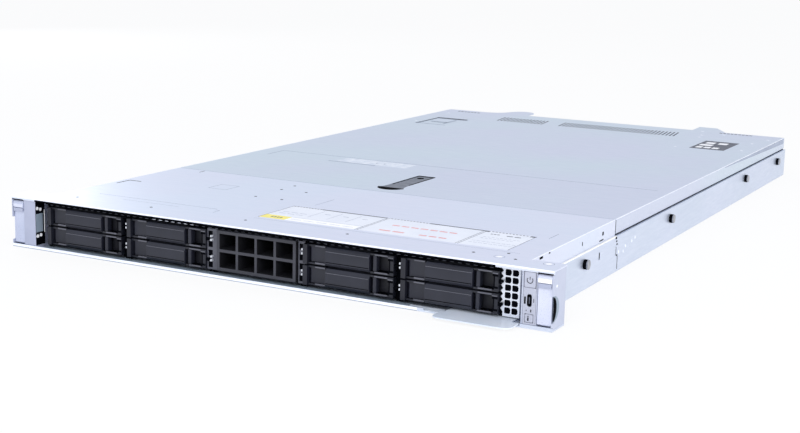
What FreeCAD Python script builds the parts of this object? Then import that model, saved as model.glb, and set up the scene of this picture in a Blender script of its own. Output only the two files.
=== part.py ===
import FreeCAD, Part
import math
import os

# A 1U rack server. Millimetres. X runs to the right, Y to the rear and Z up, seen from the front.
# Every place is measured from the front face of the rack ears at Y = 0 and from the underside at
# Z = 0, and save() moves the finished pieces so that the origin is the middle of the underside.

# Drive bays: five across, two drives high, with a blank over the middle one.
bay_count = 5
blank_bay = 2
carrier_width = 76.0
carrier_front = 6.0
carrier_floor = 4.4
row_gap = 1.3
top_room = 7.5
divider_gap = 6.4
carrier_rail = 2.775
drive_length = 100.45

# Inside a carrier, from its left edge
left_bar = 3.8
pivot_x = 6.0
hinge_well_end = 9.3
recess_start = carrier_width - 19.0
grip_span = (19.3, recess_start - 0.5)
button_span = (recess_start + 1.7, recess_start + 4.9)
right_bar = 3.2
flange = 1.4
bezel_setback = 6.0
bezel_thickness = 4.0
recess_back = 1.4
button_travel = 1.5
handle_pin_radius = 0.9
barrel_radius = 1.8
grip_slope = 3.1
plate_thickness = 2.1
scoop_radius = 5.0
knob_radius = 1.3
knob_reach = 1.9
rail_margin = 6.0

# Blank over the middle bay
blank_depth = 26.0
blank_rim = 2.6
blank_mullion = 2.2
blank_cross = 2.4
blank_inset = 4.6
blank_rise = 0.4
blank_top_gap = 1.2
clip_height = 8.0
clip_length = 17.0

# Case
left_margin = 8.5
right_margin = 19.9
ear_width = 24.0
ear_depth = 22.0
height = 42.8
body_depth = 773.5
cover_start = 195.0
sheet = 1.2
cover_sheet = 1.0
hem_height = 2.7
hem_thickness = 1.0
ledge_height = height - 13.3
ledge_width = 2.0
cover_lift = 1.1
cover_gap = 0.5
slide_gap = 0.4
clearance = 0.3
pin_clearance = 0.08
side_slot_place = 154.5
side_slot_size = (2.4, 6.0)

# Front top panel
panel_hole_radius = 1.1
panel_holes = ((-192.0, 24.5), (-116.0, 24.5), (-25.0, 24.5), (66.0, 24.5), (170.5, 22.0),
               (193.0, 32.5), (204.5, 18.0))
dimple_radius = 1.3
dimples = ((-74.5, 112.5), (-48.5, 112.5), (-74.5, 152.5), (-49.5, 152.5), (-74.5, 174.0))
flange_hole_radius = 1.6
flange_hole_place = 166.0

# Cover, its rear edge and its finger grip
grip_recess = (42.0, 66.0)
grip_recess_middle = (-169.0, 116.5)
rear_slot_width = 1.2
rear_slot_inset = 8.9
rear_slots = ((-199.0, -169.0), (142.0, 176.0))
tab_reach = 35.5
curved_tab = (-169.0, -145.0, -121.0, -108.0)
straight_tab = (106.0, 147.0, 127.0)

# Rack ears
ear_hole_radius = 3.25
ear_hole_inset = 8.45
ear_hole_height = height / 2
latch_width = 10.6
latch_thickness = 2.5
latch_pivot = (4.1, height - 7.1)
latch_boss_radius = 4.3
latch_pin_radius = 1.5
hook_size = (4.0, 9.0, 3.0)
hook_drop = 11.5
catch_margin = 0.5
finger_notch = (6.0, 25.0)
finger_notch_depth = 6.0
ear_wall = 0.6

# Control panel in the right ear
panel_gap = 1.6
panel_front = 0.8
button_wall = 0.5
power_button_height = height / 4 + 0.1
power_button_depth = 4.0
info_button_size = (5.9, 5.6)
info_button_depth = 3.0
info_button_floor = 4.4
power_travel = 1.2
info_travel = 0.8
port_size = (3.2, 8.9)
port_floor = 15.3
port_depth = 6.5
light_size = (1.1, 5.1)
light_floor = 17.1

# Vent strip beside the drives
vent_hole = 3.9
vent_corner = 0.9
vent_pitch = 5.5
vent_rows = 6
vent_columns = 2
vent_margin = (3.2, 4.2)
vent_sheet = 1.0
vent_setback = 4.2
vent_floor = 3.3
vent_height = height - 7.0
vent_flange = 12.0
tooth_pitch = 4.15
tooth_depth = 1.8

# Information tag under the right-hand drives
tag_thickness = 0.9
tag_width = 60.0
tag_reach = 15.8
tag_length = 96.0
tag_corner = 6.0
tag_shoulders = (3.0, 6.0)

# Latch on the cover
cover_latch_x = -1.5
cover_latch_start = 211.0
cover_latch_length = 76.0
cover_latch_width = 18.0
cover_latch_lobe = 12.8
cover_latch_waist = 20.0
lever_rear_cut = 20.0
cover_latch_nose = 5.0
cover_latch_thickness = 1.9
cover_latch_pin_radius = 1.0
cover_latch_depth = 4.8
cover_latch_sink = 0.3
cover_lock_radius = 2.6
cover_lock_depth = 0.8
latch_tray_margin = 4.0
cover_stroke = 12.7

# Shoulder studs on the side walls: two placed from the front and two from the rear
front_studs = (122.0, 336.0)
rear_studs = (179.0, 40.0)
stud_height = height / 2 - 0.9
stud_neck_radius = 2.4
stud_neck_length = 2.3
stud_head_radius = 3.8
stud_head_length = 1.5

# Drive cage
cage_shelf = 2.2
cage_sheet = 1.0
cage_roof_setback = 3.0
cage_head_room = 1.6
finger_pitch = 30.0
finger_gap = 1.2

# Backplane
backplane_gap = 2.0
backplane_socket = (32.0, 4.7)
backplane_slot = (14.0, height - 16.8)

# Fans
fan_count = 7
fan_size = height - 2.8
fan_length = 56.0
fan_side_room = 9.4
fan_gap = 1.5
fan_bore_radius = fan_size / 2 - 1.2
rotor_radius = fan_bore_radius - 0.6
rotor_setback = 8.0
hub_radius = 8.0
hub_cap = 4.0
motor_length = 6.0
spindle_radius = 1.5
blade_count = 5
blade_chord = 20.0
blade_thickness = 1.2
blade_angle = 35.0
strut_width = 2.4
strut_depth = 3.0

# Boards and what stands on them
board_thickness = 1.6
board_height = 5.5
board_gap = 10.0
board_side_gap = 10.4
post_radius = 3.0
sink_size = (78.0, 108.0, height - 18.8)
sink_offset = 92.0
sink_base = 4.0
sink_socket = 5.0
sink_fins = 13
fin_thickness = 0.8
memory_count = 6
inner_memory_count = 4
memory_pitch = 7.6
memory_size = (133.0, height - 12.8)
memory_thickness = 1.4
memory_socket = (5.0, 4.0)

# Power supplies
psu_width = 60.0
psu_length = 190.0
psu_gap = 0.6
psu_head_room = 0.8
psu_handle_reach = 33.0
psu_handle_height = height - 12.8
psu_handle_width = 9.0
psu_handle_bar = 3.2
psu_handle_corner = 6.0
psu_latch_width = 4.0
psu_latch_height = 12.0
psu_latch_pad = 16.0
psu_latch_reach = 17.0
psu_latch_travel = 3.0
psu_latch_well = 9.0
handle_offset = 8.0
latch_offset = 19.0
inlet_offset = 43.0
inlet_rise = 6.0
inlet_size = (25.0, 17.0)
inlet_depth = 16.0
inlet_blade = (2.0, 4.0)
inlet_blades = ((-7.0, -2.0), (7.0, -2.0), (0.0, 4.2))
psu_grille_start = 28.0
psu_grille_count = 5
psu_grille_pitch = 2.8
psu_grille_slot = 1.4

# Rear wall
slot_spacing = 8.0
slot_side_room = 9.2
slot_window_height = 14.5
slot_floor = height - 18.8
card_window_start = -30.0
card_window_height = slot_floor - 10.0
bracket_lap = (2.0, 1.5)
bracket_sheet = 1.0
bracket_slot = 7.0
bracket_pitch = 10.5
rear_vent_room = 81.8
card_vent_gap = 10.0
rear_vent_size = (6.0, 5.0)
rear_vent_pitch = (9.0, 7.5)
rear_vent_grid = (8, 2)
port_row = 4.0
port_depth_behind = 16.0
port_lip = 0.6
port_gap = 0.2
network_size = (16.0, 13.6)
network_mouth = (11.8, 8.6, 12.0)
network_places = (-118.0, -98.0)
serial_size = (31.0, 12.6)
serial_face = (18.0, 8.6, 5.4)
serial_place = -70.0
usb_size = (14.6, 7.0)
usb_mouth = (12.4, 4.8, 12.0)
usb_tongue = (11.0, 1.6)
usb_place = -44.0

# Worked out from the sizes above
carrier_pitch = carrier_width + divider_gap
body_width = (left_margin + bay_count * carrier_width + (bay_count - 1) * divider_gap
              + right_margin)
half_body = body_width / 2
half_rack = half_body + ear_width
flange_x = half_body - ledge_width
lip_x = flange_x - cover_sheet - slide_gap
inner_x = lip_x - sheet
ceiling = height - cover_sheet
fan_pitch = 2 * (inner_x - fan_side_room) / fan_count
psu_inner_x = inner_x - psu_gap - psu_width
slot_pitch = 2 * psu_inner_x / 3 - slot_side_room
rear_vent_start = psu_inner_x - rear_vent_room
card_window = (card_window_start, rear_vent_start - card_vent_gap)
carrier_height = (height - top_room - row_gap - carrier_floor) / 2
row_height = carrier_height + row_gap
rows_top = carrier_floor + row_height + carrier_height
last_bay_right = half_body - right_margin
tag_floor = sheet + clearance
divider_front = carrier_front + bezel_setback
drive_front = divider_front + bezel_thickness
drive_rear = drive_front + drive_length
stud_places = front_studs + tuple(body_depth - inset for inset in rear_studs)
latch_tray_end = cover_latch_start + cover_latch_length + latch_tray_margin
fan_start = latch_tray_end + cover_stroke + fan_gap
rotor_start = fan_start + rotor_setback
board_start = fan_start + fan_length + board_gap
board_end = body_depth - psu_length - clearance
psu_floor = sheet + clearance
psu_top = ceiling - psu_head_room
mid_depth = (body_depth + tab_reach - tag_reach) / 2

unit = {
    "x": FreeCAD.Vector(1, 0, 0),
    "y": FreeCAD.Vector(0, 1, 0),
    "z": FreeCAD.Vector(0, 0, 1),
}


# Helpers

def place(along, a, b, level):
    # a and b are the other two coordinates, in X, Y, Z order
    spots = {"x": (level, a, b), "y": (a, level, b), "z": (a, b, level)}
    return FreeCAD.Vector(*spots[along])


def box(x, y, z):
    return Part.makeBox(x[1] - x[0], y[1] - y[0], z[1] - z[0], FreeCAD.Vector(x[0], y[0], z[0]))


def extrude(outline, along, span):
    corners = [place(along, a, b, span[0]) for a, b in outline]
    face = Part.Face(Part.makePolygon(corners + corners[:1]))
    return face.extrude(unit[along] * (span[1] - span[0]))


def rod(along, centre, radius, span):
    start = place(along, centre[0], centre[1], span[0])
    return Part.makeCylinder(radius, span[1] - span[0], start, unit[along])


def prism(along, centre, radius, span, sides):
    # A round post drawn with flat sides. Its corners lie on the circle.
    outline = []
    for k in range(sides):
        turn = math.pi * (2 * k + 1) / sides
        outline.append((centre[0] + radius * math.cos(turn), centre[1] + radius * math.sin(turn)))
    return extrude(outline, along, span)


def prism_hole(along, centre, radius, span, sides):
    # The same for a hole. Its flats touch the circle.
    return prism(along, centre, radius / math.cos(math.pi / sides), span, sides)


def edges_along(shape, along, chosen):
    found = []
    for edge in shape.Edges:
        if isinstance(edge.Curve, Part.Line) and chosen(edge.CenterOfMass):
            if abs(edge.tangentAt(edge.FirstParameter).dot(unit[along])) > 0.999:
                found.append(edge)
    return found


def soften(shape, along, radius, chosen=lambda p: True):
    return shape.makeFillet(radius, edges_along(shape, along, chosen))


def bevel(shape, along, size, chosen=lambda p: True):
    return shape.makeChamfer(size, edges_along(shape, along, chosen))


def join(first, *rest):
    return first.fuse(list(rest)).removeSplitter()


def cut(shape, *tools):
    return shape.cut(list(tools))


def mirrored(shape):
    return shape.mirror(FreeCAD.Vector(0, 0, 0), unit["x"])


def moved(shape, x=0.0, y=0.0, z=0.0):
    return shape.translated(FreeCAD.Vector(x, y, z))


def around(centre, size):
    return (centre - size / 2, centre + size / 2)


def grown(span, margin):
    return (span[0] - margin, span[1] + margin)


def clear_of_hems(shape):
    # What stands behind the folded front edges is notched round both of them.
    room = hem_height + clearance / 2
    depth = (-1, hem_thickness + clearance / 2)
    width = (-half_rack, half_rack)
    return cut(shape, box(width, depth, (0, room)), box(width, depth, (height - room, height)))


def save(name, *solids):
    shape = solids[0] if len(solids) == 1 else Part.makeCompound(list(solids))
    moved(shape, y=-mid_depth).exportStep(f"parts/{name}.step")


# Case

def chassis_base():
    # A tray folded from one sheet: floor, side walls and an upper lip stepped in over a ledge.
    lip_top = ceiling - clearance
    right = [
        (half_body, 0),
        (half_body, ledge_height),
        (lip_x, ledge_height),
        (lip_x, lip_top),
        (inner_x, lip_top),
        (inner_x, ledge_height - sheet),
        (half_body - sheet, ledge_height - sheet),
        (half_body - sheet, sheet),
    ]
    left = [(-x, z) for x, z in reversed(right)]
    tray = extrude(right + left, "y", (ear_depth, body_depth))
    apron = box((-half_rack, half_rack), (0, ear_depth), (0, sheet))
    hem = box((-half_rack, half_rack), (0, hem_thickness), (0, hem_height))
    tag_gap = box((last_bay_right - tag_width + tag_corner, half_body), (-1, 2 * hem_thickness),
                  (sheet, height))
    side_slots = []
    for side in (-1, 1):
        wall = around(side * (half_body - sheet / 2), 3 * sheet)
        side_slots.append(box(wall, around(side_slot_place, side_slot_size[0]),
                              around(stud_height, side_slot_size[1])))
    return cut(join(tray, apron, cut(hem, tag_gap)), *side_slots)


def channel(span, low):
    # A sheet folded down along both sides, with a small bend radius on each fold.
    right = [(flange_x, height), (flange_x, low), (flange_x - cover_sheet, low),
             (flange_x - cover_sheet, ceiling)]
    left = [(-x, z) for x, z in reversed(right)]
    folded = extrude(right + left, "y", span)
    return soften(folded, "y", cover_sheet, lambda p: p.z > height - 0.01)


def front_top_panel():
    over_ears = box((-half_rack, half_rack), (0, ear_depth + ledge_width), (ceiling, height))
    over_ears = soften(over_ears, "z", 1.5, lambda p: p.y > ear_depth)
    hem = box((-half_rack, half_rack), (0, hem_thickness), (height - hem_height, height))
    body = channel((ear_depth, cover_start - cover_gap), ledge_height)
    panel = join(body, over_ears, hem)
    through = grown((ceiling, height), 1.0)
    holes = []
    for centre in panel_holes:
        holes.append(prism_hole("z", centre, panel_hole_radius, through, 8))
    for centre in dimples:
        holes.append(prism_hole("z", centre, dimple_radius, through, 8))
    for side in (-1, 1):
        wall = around(side * flange_x, 4 * cover_sheet)
        centre = (flange_hole_place, (ledge_height + height) / 2)
        holes.append(prism_hole("x", centre, flange_hole_radius, wall, 8))
    return cut(panel, *holes)


def rear_tabs():
    # Two tongues of the cover reach out over the rear: a curved one and a straight-sided one.
    rear = body_depth - cover_sheet
    reach = body_depth + tab_reach
    root, swell, peak, tip = curved_tab
    start = FreeCAD.Vector(root, rear, ceiling)
    crown = FreeCAD.Vector(peak, reach, ceiling)
    shoulder = FreeCAD.Vector(tip, body_depth + tab_reach / 2, ceiling)
    finish = FreeCAD.Vector(tip + 1.0, rear, ceiling)
    flank = Part.BSplineCurve()
    flank.interpolate([start, FreeCAD.Vector(swell, body_depth + tab_reach / 4, ceiling), crown],
                      InitialTangent=FreeCAD.Vector(1, 0.1, 0), FinalTangent=unit["x"])
    nose = Part.Arc(crown, FreeCAD.Vector(tip - 3.0, reach - tab_reach / 6, ceiling), shoulder)
    edges = [flank.toShape(), nose.toShape(), Part.makeLine(shoulder, finish),
             Part.makeLine(finish, start)]
    curved = Part.Face(Part.Wire(edges)).extrude(unit["z"] * cover_sheet)
    near, far, end = straight_tab
    corners = [(near, rear), (far, rear), (end, reach - 2.0), (near - 1.0, reach - 2.0)]
    return curved, extrude(corners, "z", (ceiling, height))


def system_cover():
    body = join(channel((cover_start, body_depth), ledge_height + cover_lift), *rear_tabs())
    through = grown((ceiling, height), 1.0)
    tools = [latch_opening(through)]
    for span in rear_slots:
        tools.append(box(span, around(body_depth - rear_slot_inset, rear_slot_width), through))
    x, inset = grip_recess_middle
    tools.append(box(around(x, grip_recess[0]), around(body_depth - inset, grip_recess[1]),
                     (height - cover_sheet / 2, height + 1)))
    return cut(body, *tools)


def bowed(start, end, bulge, steps):
    # Points along a shallow curve from start up to end, without end itself
    along = (end[0] - start[0], end[1] - start[1])
    length = math.hypot(*along)
    points = []
    for k in range(steps):
        t = k / steps
        out = 4 * bulge * t * (1 - t) / length
        points.append((start[0] + along[0] * t + along[1] * out,
                       start[1] + along[1] * t - along[0] * out))
    return points


def latch_outline(gap, front_gap):
    # The latch in plan: a strip that widens to a lobe at its front end. gap grows it all round.
    half = cover_latch_width / 2 + gap
    lobe = cover_latch_lobe + gap
    tip = cover_latch_start + cover_latch_nose - gap
    waist = cover_latch_start + cover_latch_waist
    rear = cover_latch_start + cover_latch_length + gap
    nose = front_gap + 1.0 - gap
    x = cover_latch_x
    left = [(x - half, rear)] + bowed((x - half, waist), (x - lobe, tip), -1.0, 4)
    front = bowed((x - lobe, tip), (x + lobe, tip), nose, 12)
    right = bowed((x + lobe, tip), (x + half, waist), -1.0, 4)
    return left + front + right + [(x + half, waist), (x + half, rear)]


def latch_opening(span):
    return extrude(latch_outline(clearance, cover_latch_nose), "z", span)


def latch_axis():
    rear = cover_latch_start + cover_latch_length
    radius = cover_latch_thickness / 2 + 0.9
    return (rear - radius, height - cover_latch_sink - radius), radius


def cover_latch_base():
    # A moulded tray under the cover's opening, with the pin that the latch turns on.
    centre, radius = latch_axis()
    low = ceiling - cover_latch_depth
    tray = box(around(cover_latch_x, 2 * (cover_latch_lobe + 3.0)),
               (cover_latch_start - 5.0, latch_tray_end), (low - 1.0, ceiling))
    tray = bevel(tray, "z", 3.0)
    pin = rod("x", centre, cover_latch_pin_radius,
              around(cover_latch_x, cover_latch_width + 4 * clearance))
    return join(cut(tray, latch_opening((low, ceiling + 1))), pin)


def cover_latch_lever():
    (y, z), radius = latch_axis()
    top = height - cover_latch_sink
    plate = extrude(latch_outline(0.0, 0.0), "z", (top - cover_latch_thickness, top))
    behind = box(around(cover_latch_x, 4 * cover_latch_lobe), (y, y + lever_rear_cut), (0.0, height + 1))
    barrel = prism("x", (y, z), radius, around(cover_latch_x, cover_latch_width), 16)
    bore = prism_hole("x", (y, z), cover_latch_pin_radius + pin_clearance,
                      around(cover_latch_x, cover_latch_width + 2.0), 8)
    lock = prism_hole("z", (cover_latch_x - 1.0, y - 9.0), cover_lock_radius,
                      (top - cover_lock_depth, top + 1), 12)
    return cut(join(cut(plate, behind), barrel), bore, lock)


# Rack ears

def ear_plate(inner_front):
    # Right-hand ear in plan: outer wall, back plate and the wall or block beside the body.
    outline = [
        (half_rack, 0),
        (half_rack, ear_depth),
        (half_body, ear_depth),
    ] + inner_front + [
        (half_rack - sheet, ear_depth - sheet),
        (half_rack - sheet, 0),
    ]
    shell = extrude(outline, "z", (sheet, ceiling))
    through = (ear_depth - 2 * sheet, ear_depth + 1)
    x = half_rack - ear_hole_inset
    hole = rod("y", (x, ear_hole_height), ear_hole_radius, through)
    notch = box(around(half_rack, 4 * sheet), (-finger_notch_depth, finger_notch_depth), finger_notch)
    notch = soften(notch, "x", finger_notch_depth - 0.5, lambda p: p.y > 0)
    catch = box(around(x, hook_size[0] + 2 * catch_margin), through,
                grown(hook_span(), 2 * catch_margin))
    return clear_of_hems(cut(shell, hole, notch, catch))


def latch_span():
    # The latch's two sides in X, in the right ear.
    high = half_rack - sheet - clearance / 2
    return (high - latch_width, high)


def latch_pin():
    return rod("x", latch_pivot, latch_pin_radius, (latch_span()[0] - clearance, half_rack - sheet / 2))


def divider_x():
    return latch_span()[0] - clearance


def right_ear():
    front = panel_front + ear_wall
    back = ear_depth - sheet
    inner = [
        (half_body, front),
        (half_body + sheet, front),
        (half_body + sheet, back),
        (divider_x() - ear_wall, back),
        (divider_x() - ear_wall, panel_front),
        (divider_x(), panel_front),
        (divider_x(), back),
    ]
    return join(ear_plate(inner), latch_pin())


def left_ear():
    block = half_body - slide_gap
    inner = [(block, ear_depth), (block, panel_front), (divider_x(), panel_front),
             (divider_x(), ear_depth - sheet)]
    return mirrored(join(ear_plate(inner), latch_pin()))


def hook_span():
    low = ear_hole_height - hook_drop - hook_size[2] / 2
    return (low, low + hook_size[2])


def ear_latch():
    # Side profile: a flat plate under a round boss that holds the pivot.
    y, z = latch_pivot
    front = y - latch_boss_radius + 1.5
    low = hem_height + clearance
    blade = box(latch_span(), (front, front + latch_thickness), (low, z))
    boss = prism("x", latch_pivot, latch_boss_radius, latch_span(), 20)
    hook = box(around(half_rack - ear_hole_inset, hook_size[0]), (front + 1.0, front + hook_size[1]),
               hook_span())
    latch = bevel(join(blade, boss, hook), "x", 1.0, lambda p: p.z < low + 0.1)
    bore = prism_hole("x", latch_pivot, latch_pin_radius + pin_clearance, (half_body, half_rack), 10)
    return cut(latch, bore)


def panel_span():
    return (half_body + panel_gap, divider_x() - ear_wall - 0.2)


def power_button_block(grow, depth):
    x = grown(panel_span(), -button_wall + grow)
    top = height - hem_height - slide_gap
    return box(x, depth, grown((top - power_button_height, top), grow))


def info_button_block(grow, depth):
    x = around(sum(panel_span()) / 2, info_button_size[0])
    z = (info_button_floor, info_button_floor + info_button_size[1])
    return box(grown(x, grow), depth, grown(z, grow))


def control_panel():
    x = panel_span()
    middle = sum(x) / 2
    port_middle = port_floor + port_size[1] / 2
    block = box(x, (panel_front, ear_depth - sheet), (sheet, ceiling))
    power_depth = power_button_depth + power_travel + clearance
    power = power_button_block(clearance, (-1, panel_front + power_depth))
    info_depth = info_button_depth + info_travel + clearance
    info = info_button_block(clearance, (-1, panel_front + info_depth))
    port = box(around(middle, port_size[0]), (-1, panel_front + port_depth),
               around(port_middle, port_size[1]))
    port = bevel(port, "y", port_size[0] / 4)
    light = box((x[0] + 0.9, x[0] + 0.9 + light_size[0]), (-1, panel_front + 0.6),
                (light_floor, light_floor + light_size[1]))
    tongue = box(around(middle, port_size[0] / 4), (panel_front + 1.0, panel_front + port_depth + 0.5),
                 around(port_middle, 0.75 * port_size[1]))
    return clear_of_hems(join(cut(block, power, info, port, light), tongue))


def power_button():
    block = power_button_block(0.0, (panel_front - 0.3, panel_front + power_button_depth))
    return bevel(block, "y", 0.5)


def info_button():
    block = info_button_block(0.0, (panel_front - 0.2, panel_front + info_button_depth))
    return bevel(block, "y", 0.5)


def vent_strip():
    # A perforated strip between the last drives and the right ear, with a saw-toothed edge.
    left = last_bay_right + 2 * clearance
    right = inner_x - 0.2
    top = vent_floor + vent_height
    front = carrier_front + vent_setback
    outline = [(right, vent_floor), (right, top)]
    for k in range(int(vent_height / tooth_pitch)):
        z = top - k * tooth_pitch
        outline.append((left, z - 0.3 * tooth_pitch))
        outline.append((left + tooth_depth, z - 0.8 * tooth_pitch))
    outline.append((left + tooth_depth, vent_floor))
    plate = extrude(outline, "y", (front, front + vent_sheet))
    back = box((right - vent_sheet, right), (front, front + vent_flange), (vent_floor, top))
    row_pitch = (vent_height - 2 * vent_margin[1]) / (vent_rows - 1)
    holes = []
    for row in range(vent_rows):
        for column in range(vent_columns):
            x = around(right - vent_margin[0] - column * vent_pitch, vent_hole)
            z = around(top - vent_margin[1] - row * row_pitch, vent_hole)
            holes.append(bevel(box(x, (front - 1, front + vent_sheet + 1), z), "y", vent_corner))
    return cut(join(plate, back), *holes)


def info_tag():
    right = half_body - cover_sheet
    x = (right - tag_width, right)
    z = (tag_floor, tag_floor + tag_thickness)
    lip = box(x, (-tag_reach, hem_thickness + 1.0), z)
    lip = soften(lip, "z", tag_corner, lambda p: p.y < 0)
    tongue = box((x[0] + tag_shoulders[0], x[1] - tag_shoulders[1]), (0, tag_length), z)
    return join(lip, tongue)


# Drive bays

def bay_left(bay):
    return -half_body + left_margin + bay * carrier_pitch


def row_floor(row):
    # row 0 is the upper one
    return carrier_floor + (1 - row) * row_height


def pivot_y():
    return divider_front - 1.0


def finger_recess(inside):
    # A well beside the grip that ends in a hollow curve at the carrier's right edge
    right = carrier_width - right_bar
    back = drive_front - recess_back
    curve_x = right - scoop_radius - 1.0
    curve_y = back - 0.82 * scoop_radius
    outline = [(recess_start, 0), (right, 0), (right, curve_y)]
    steps = 4
    widest = math.asin((back - curve_y) / scoop_radius)
    for k in range(steps + 1):
        turn = widest * k / steps
        outline.append((curve_x + scoop_radius * math.cos(turn), curve_y + scoop_radius * math.sin(turn)))
    outline.append((recess_start, back))
    return extrude(outline, "z", inside)


def carrier_frame():
    w, h = carrier_width, carrier_height
    inside = (flange, h - flange)
    front = carrier_front
    bezel = box((0, w), (divider_front, drive_front), (0, h))
    bar = box((0, left_bar), (front, divider_front), (0, h))
    cup = box((recess_start, w), (front + 1.0, divider_front), (0, h))
    parts = [bar, cup]
    for z in ((0, flange), (h - flange, h)):
        parts.append(box((0, grip_span[0] - 0.8), (front + 2.0, divider_front), z))
    for x in ((0, carrier_rail), (w - carrier_rail, w)):
        parts.append(box(x, (drive_front, drive_rear - rail_margin), (2.0, h - 2.0)))
    hinge_well = box((left_bar, hinge_well_end), (front - 1, drive_front - 1.0), inside)
    notch = box((w - 1.2, w + 1), (front, front + 1.0), (3.0, h - 3.0))
    body = cut(join(bezel, *parts), hinge_well, finger_recess(inside), notch)
    pin = rod("z", (pivot_x, pivot_y()), handle_pin_radius, (0.2, h - 0.2))
    knob = prism("x", (front + 2 * knob_radius, h / 2), knob_radius, (w - 1.0, w + knob_reach), 8)
    return join(body, pin, knob)


def drive_body():
    # A 2.5 inch drive between the carrier's rails
    x = grown((carrier_rail, carrier_width - carrier_rail), -clearance)
    return box(x, (drive_front + 0.2, drive_rear), (0.4, carrier_height - 0.4))


def carrier_handle():
    # Grip: flat face with a sloped top and a shorter sloped underside
    low, high = 0.35, carrier_height - 0.35
    front, back = carrier_front, divider_front - clearance
    grip = extrude([
        (front + 1.6, low), (back, low), (back, high),
        (front + 2.0, high), (front, high - grip_slope), (front, low + 2.0),
    ], "x", grip_span)
    middle = (flange + clearance, carrier_height - flange - clearance)
    axis = (pivot_x, pivot_y())
    plate = box((pivot_x, grip_span[0] + 1.0), (back - plate_thickness, back), middle)
    # The plate narrows round the barrel so that it swings clear of the case
    corner = box((pivot_x, pivot_x + 2 * barrel_radius), (divider_front - 0.3 * barrel_radius, back + 1),
                 middle)
    barrel = prism("z", axis, barrel_radius, middle, 12)
    bore = prism_hole("z", axis, handle_pin_radius + pin_clearance, grown(middle, 1.0), 8)
    return cut(join(cut(plate, corner), barrel, grip), bore)


def carrier_button():
    y = (carrier_front + 1.2, drive_front - recess_back - button_travel - clearance)
    z = (flange + clearance, carrier_height - flange - clearance)
    return bevel(box(button_span, y, z), "z", 0.6, lambda p: p.y < y[0] + 0.1)


def bay_blank():
    # An open-celled filler: four cells across and two high, with a clip at each side.
    left = bay_left(blank_bay)
    x = (left + blank_inset, left + carrier_width + 0.2)
    z = (carrier_floor + blank_rise, rows_top + blank_top_gap)
    y = (carrier_front, carrier_front + blank_depth)
    cell_w = (x[1] - x[0] - 2 * blank_rim - 3 * blank_mullion) / 4
    cell_h = (z[1] - z[0] - 2 * blank_rim - blank_cross) / 2
    cells = []
    for column in range(4):
        for row in range(2):
            x0 = x[0] + blank_rim + column * (cell_w + blank_mullion)
            z0 = z[0] + blank_rim + row * (cell_h + blank_cross)
            cells.append(box((x0, x0 + cell_w), grown(y, 1.0), (z0, z0 + cell_h)))
    clips = []
    for low in (z[0] + 3.0, z[1] - 3.0 - clip_height):
        span = (low, low + clip_height)
        clips.append(box((left + clearance, x[0] + 1.0), (y[0] + 3.0, y[0] + 5.0), span))
        clips.append(box((left + clearance, left + 1.5), (y[0] + 3.0, y[0] + 3.0 + clip_length), span))
    return join(cut(box(x, y, z), *cells), *clips)


def drive_cage():
    top = rows_top + cage_head_room
    y = (divider_front, drive_rear)
    lower_shelf = carrier_floor - clearance
    upper_shelf = row_floor(0) - clearance
    shelves = [(lower_shelf - cage_sheet, lower_shelf), (upper_shelf - 0.7, upper_shelf)]
    pieces = []
    for bay in range(bay_count + 1):
        first, last = bay == 0, bay == bay_count
        left = -inner_x if first else bay_left(bay) - divider_gap + clearance
        right = bay_left(bay) - clearance
        low = sheet
        if last:
            left = last_bay_right + clearance
            right = left + sheet
            low = tag_floor + tag_thickness + clearance
        pieces.append(box((left, right), y, (low, top + cage_sheet)))
        reach = (left - (0 if first else cage_shelf), right + (0 if last else cage_shelf))
        for z in shelves:
            pieces.append(box(reach, y, z))
    roof = (-inner_x, last_bay_right + clearance)
    roof_front = carrier_front + cage_roof_setback
    pieces.append(box(roof, (roof_front, drive_rear), (top, top + cage_sheet)))
    # Room for the blank, which is taller than a pair of carriers and sits where its bay has no shelves
    left = bay_left(blank_bay)
    bay_room = box((left - 0.2, left + carrier_width + 0.5), (roof_front, carrier_front + blank_depth + 1),
                   (carrier_floor - 2.0, top + 0.001))
    # The front edge of the roof is cut into a row of spring fingers
    slits = []
    for k in range(1, int((roof[1] - roof[0]) / finger_pitch)):
        x = around(roof[0] + k * finger_pitch, finger_gap)
        slits.append(box(x, (carrier_front, divider_front - 1.0), (top - 1, top + 2)))
    return cut(join(*pieces), bay_room, *slits)


def backplane():
    front = drive_rear + backplane_gap
    y = (front, front + board_thickness)
    board = box((-inner_x + 1.0, inner_x - 1.0), y, (sheet, ceiling - 2.0))
    sockets = []
    slots = []
    for bay in range(bay_count):
        middle = bay_left(bay) + carrier_width / 2
        slots.append(box(around(middle + carrier_width / 3, backplane_slot[0]), grown(y, 1.0),
                         around((carrier_floor + rows_top) / 2, backplane_slot[1])))
        for row in range(2):
            if bay != blank_bay:
                z = around(row_floor(row) + 6.7, backplane_socket[1])
                sockets.append(box(around(middle, backplane_socket[0]), (drive_rear + 0.4, front), z))
    return join(cut(board, *slots), *sockets)


# Inside

def fan_x(k):
    return (k - (fan_count - 1) / 2) * fan_pitch


def fan_z():
    return sheet + fan_size / 2


def fan_module(k):
    axis = (fan_x(k), fan_z())
    y = (fan_start, fan_start + fan_length)
    case = box(around(axis[0], fan_size), y, (sheet, sheet + fan_size))
    tunnel = prism_hole("y", axis, fan_bore_radius, grown(y, 1.0), 10)
    hub = prism("y", axis, hub_radius, (y[1] - motor_length, y[1]), 6)
    strut = box(around(axis[0], fan_size - 1.0), (y[1] - strut_depth, y[1]), around(axis[1], strut_width))
    spindle = rod("y", axis, spindle_radius, (rotor_start + hub_cap + clearance, y[1] - 1.0))
    return join(cut(case, tunnel), hub, strut, spindle)


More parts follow.
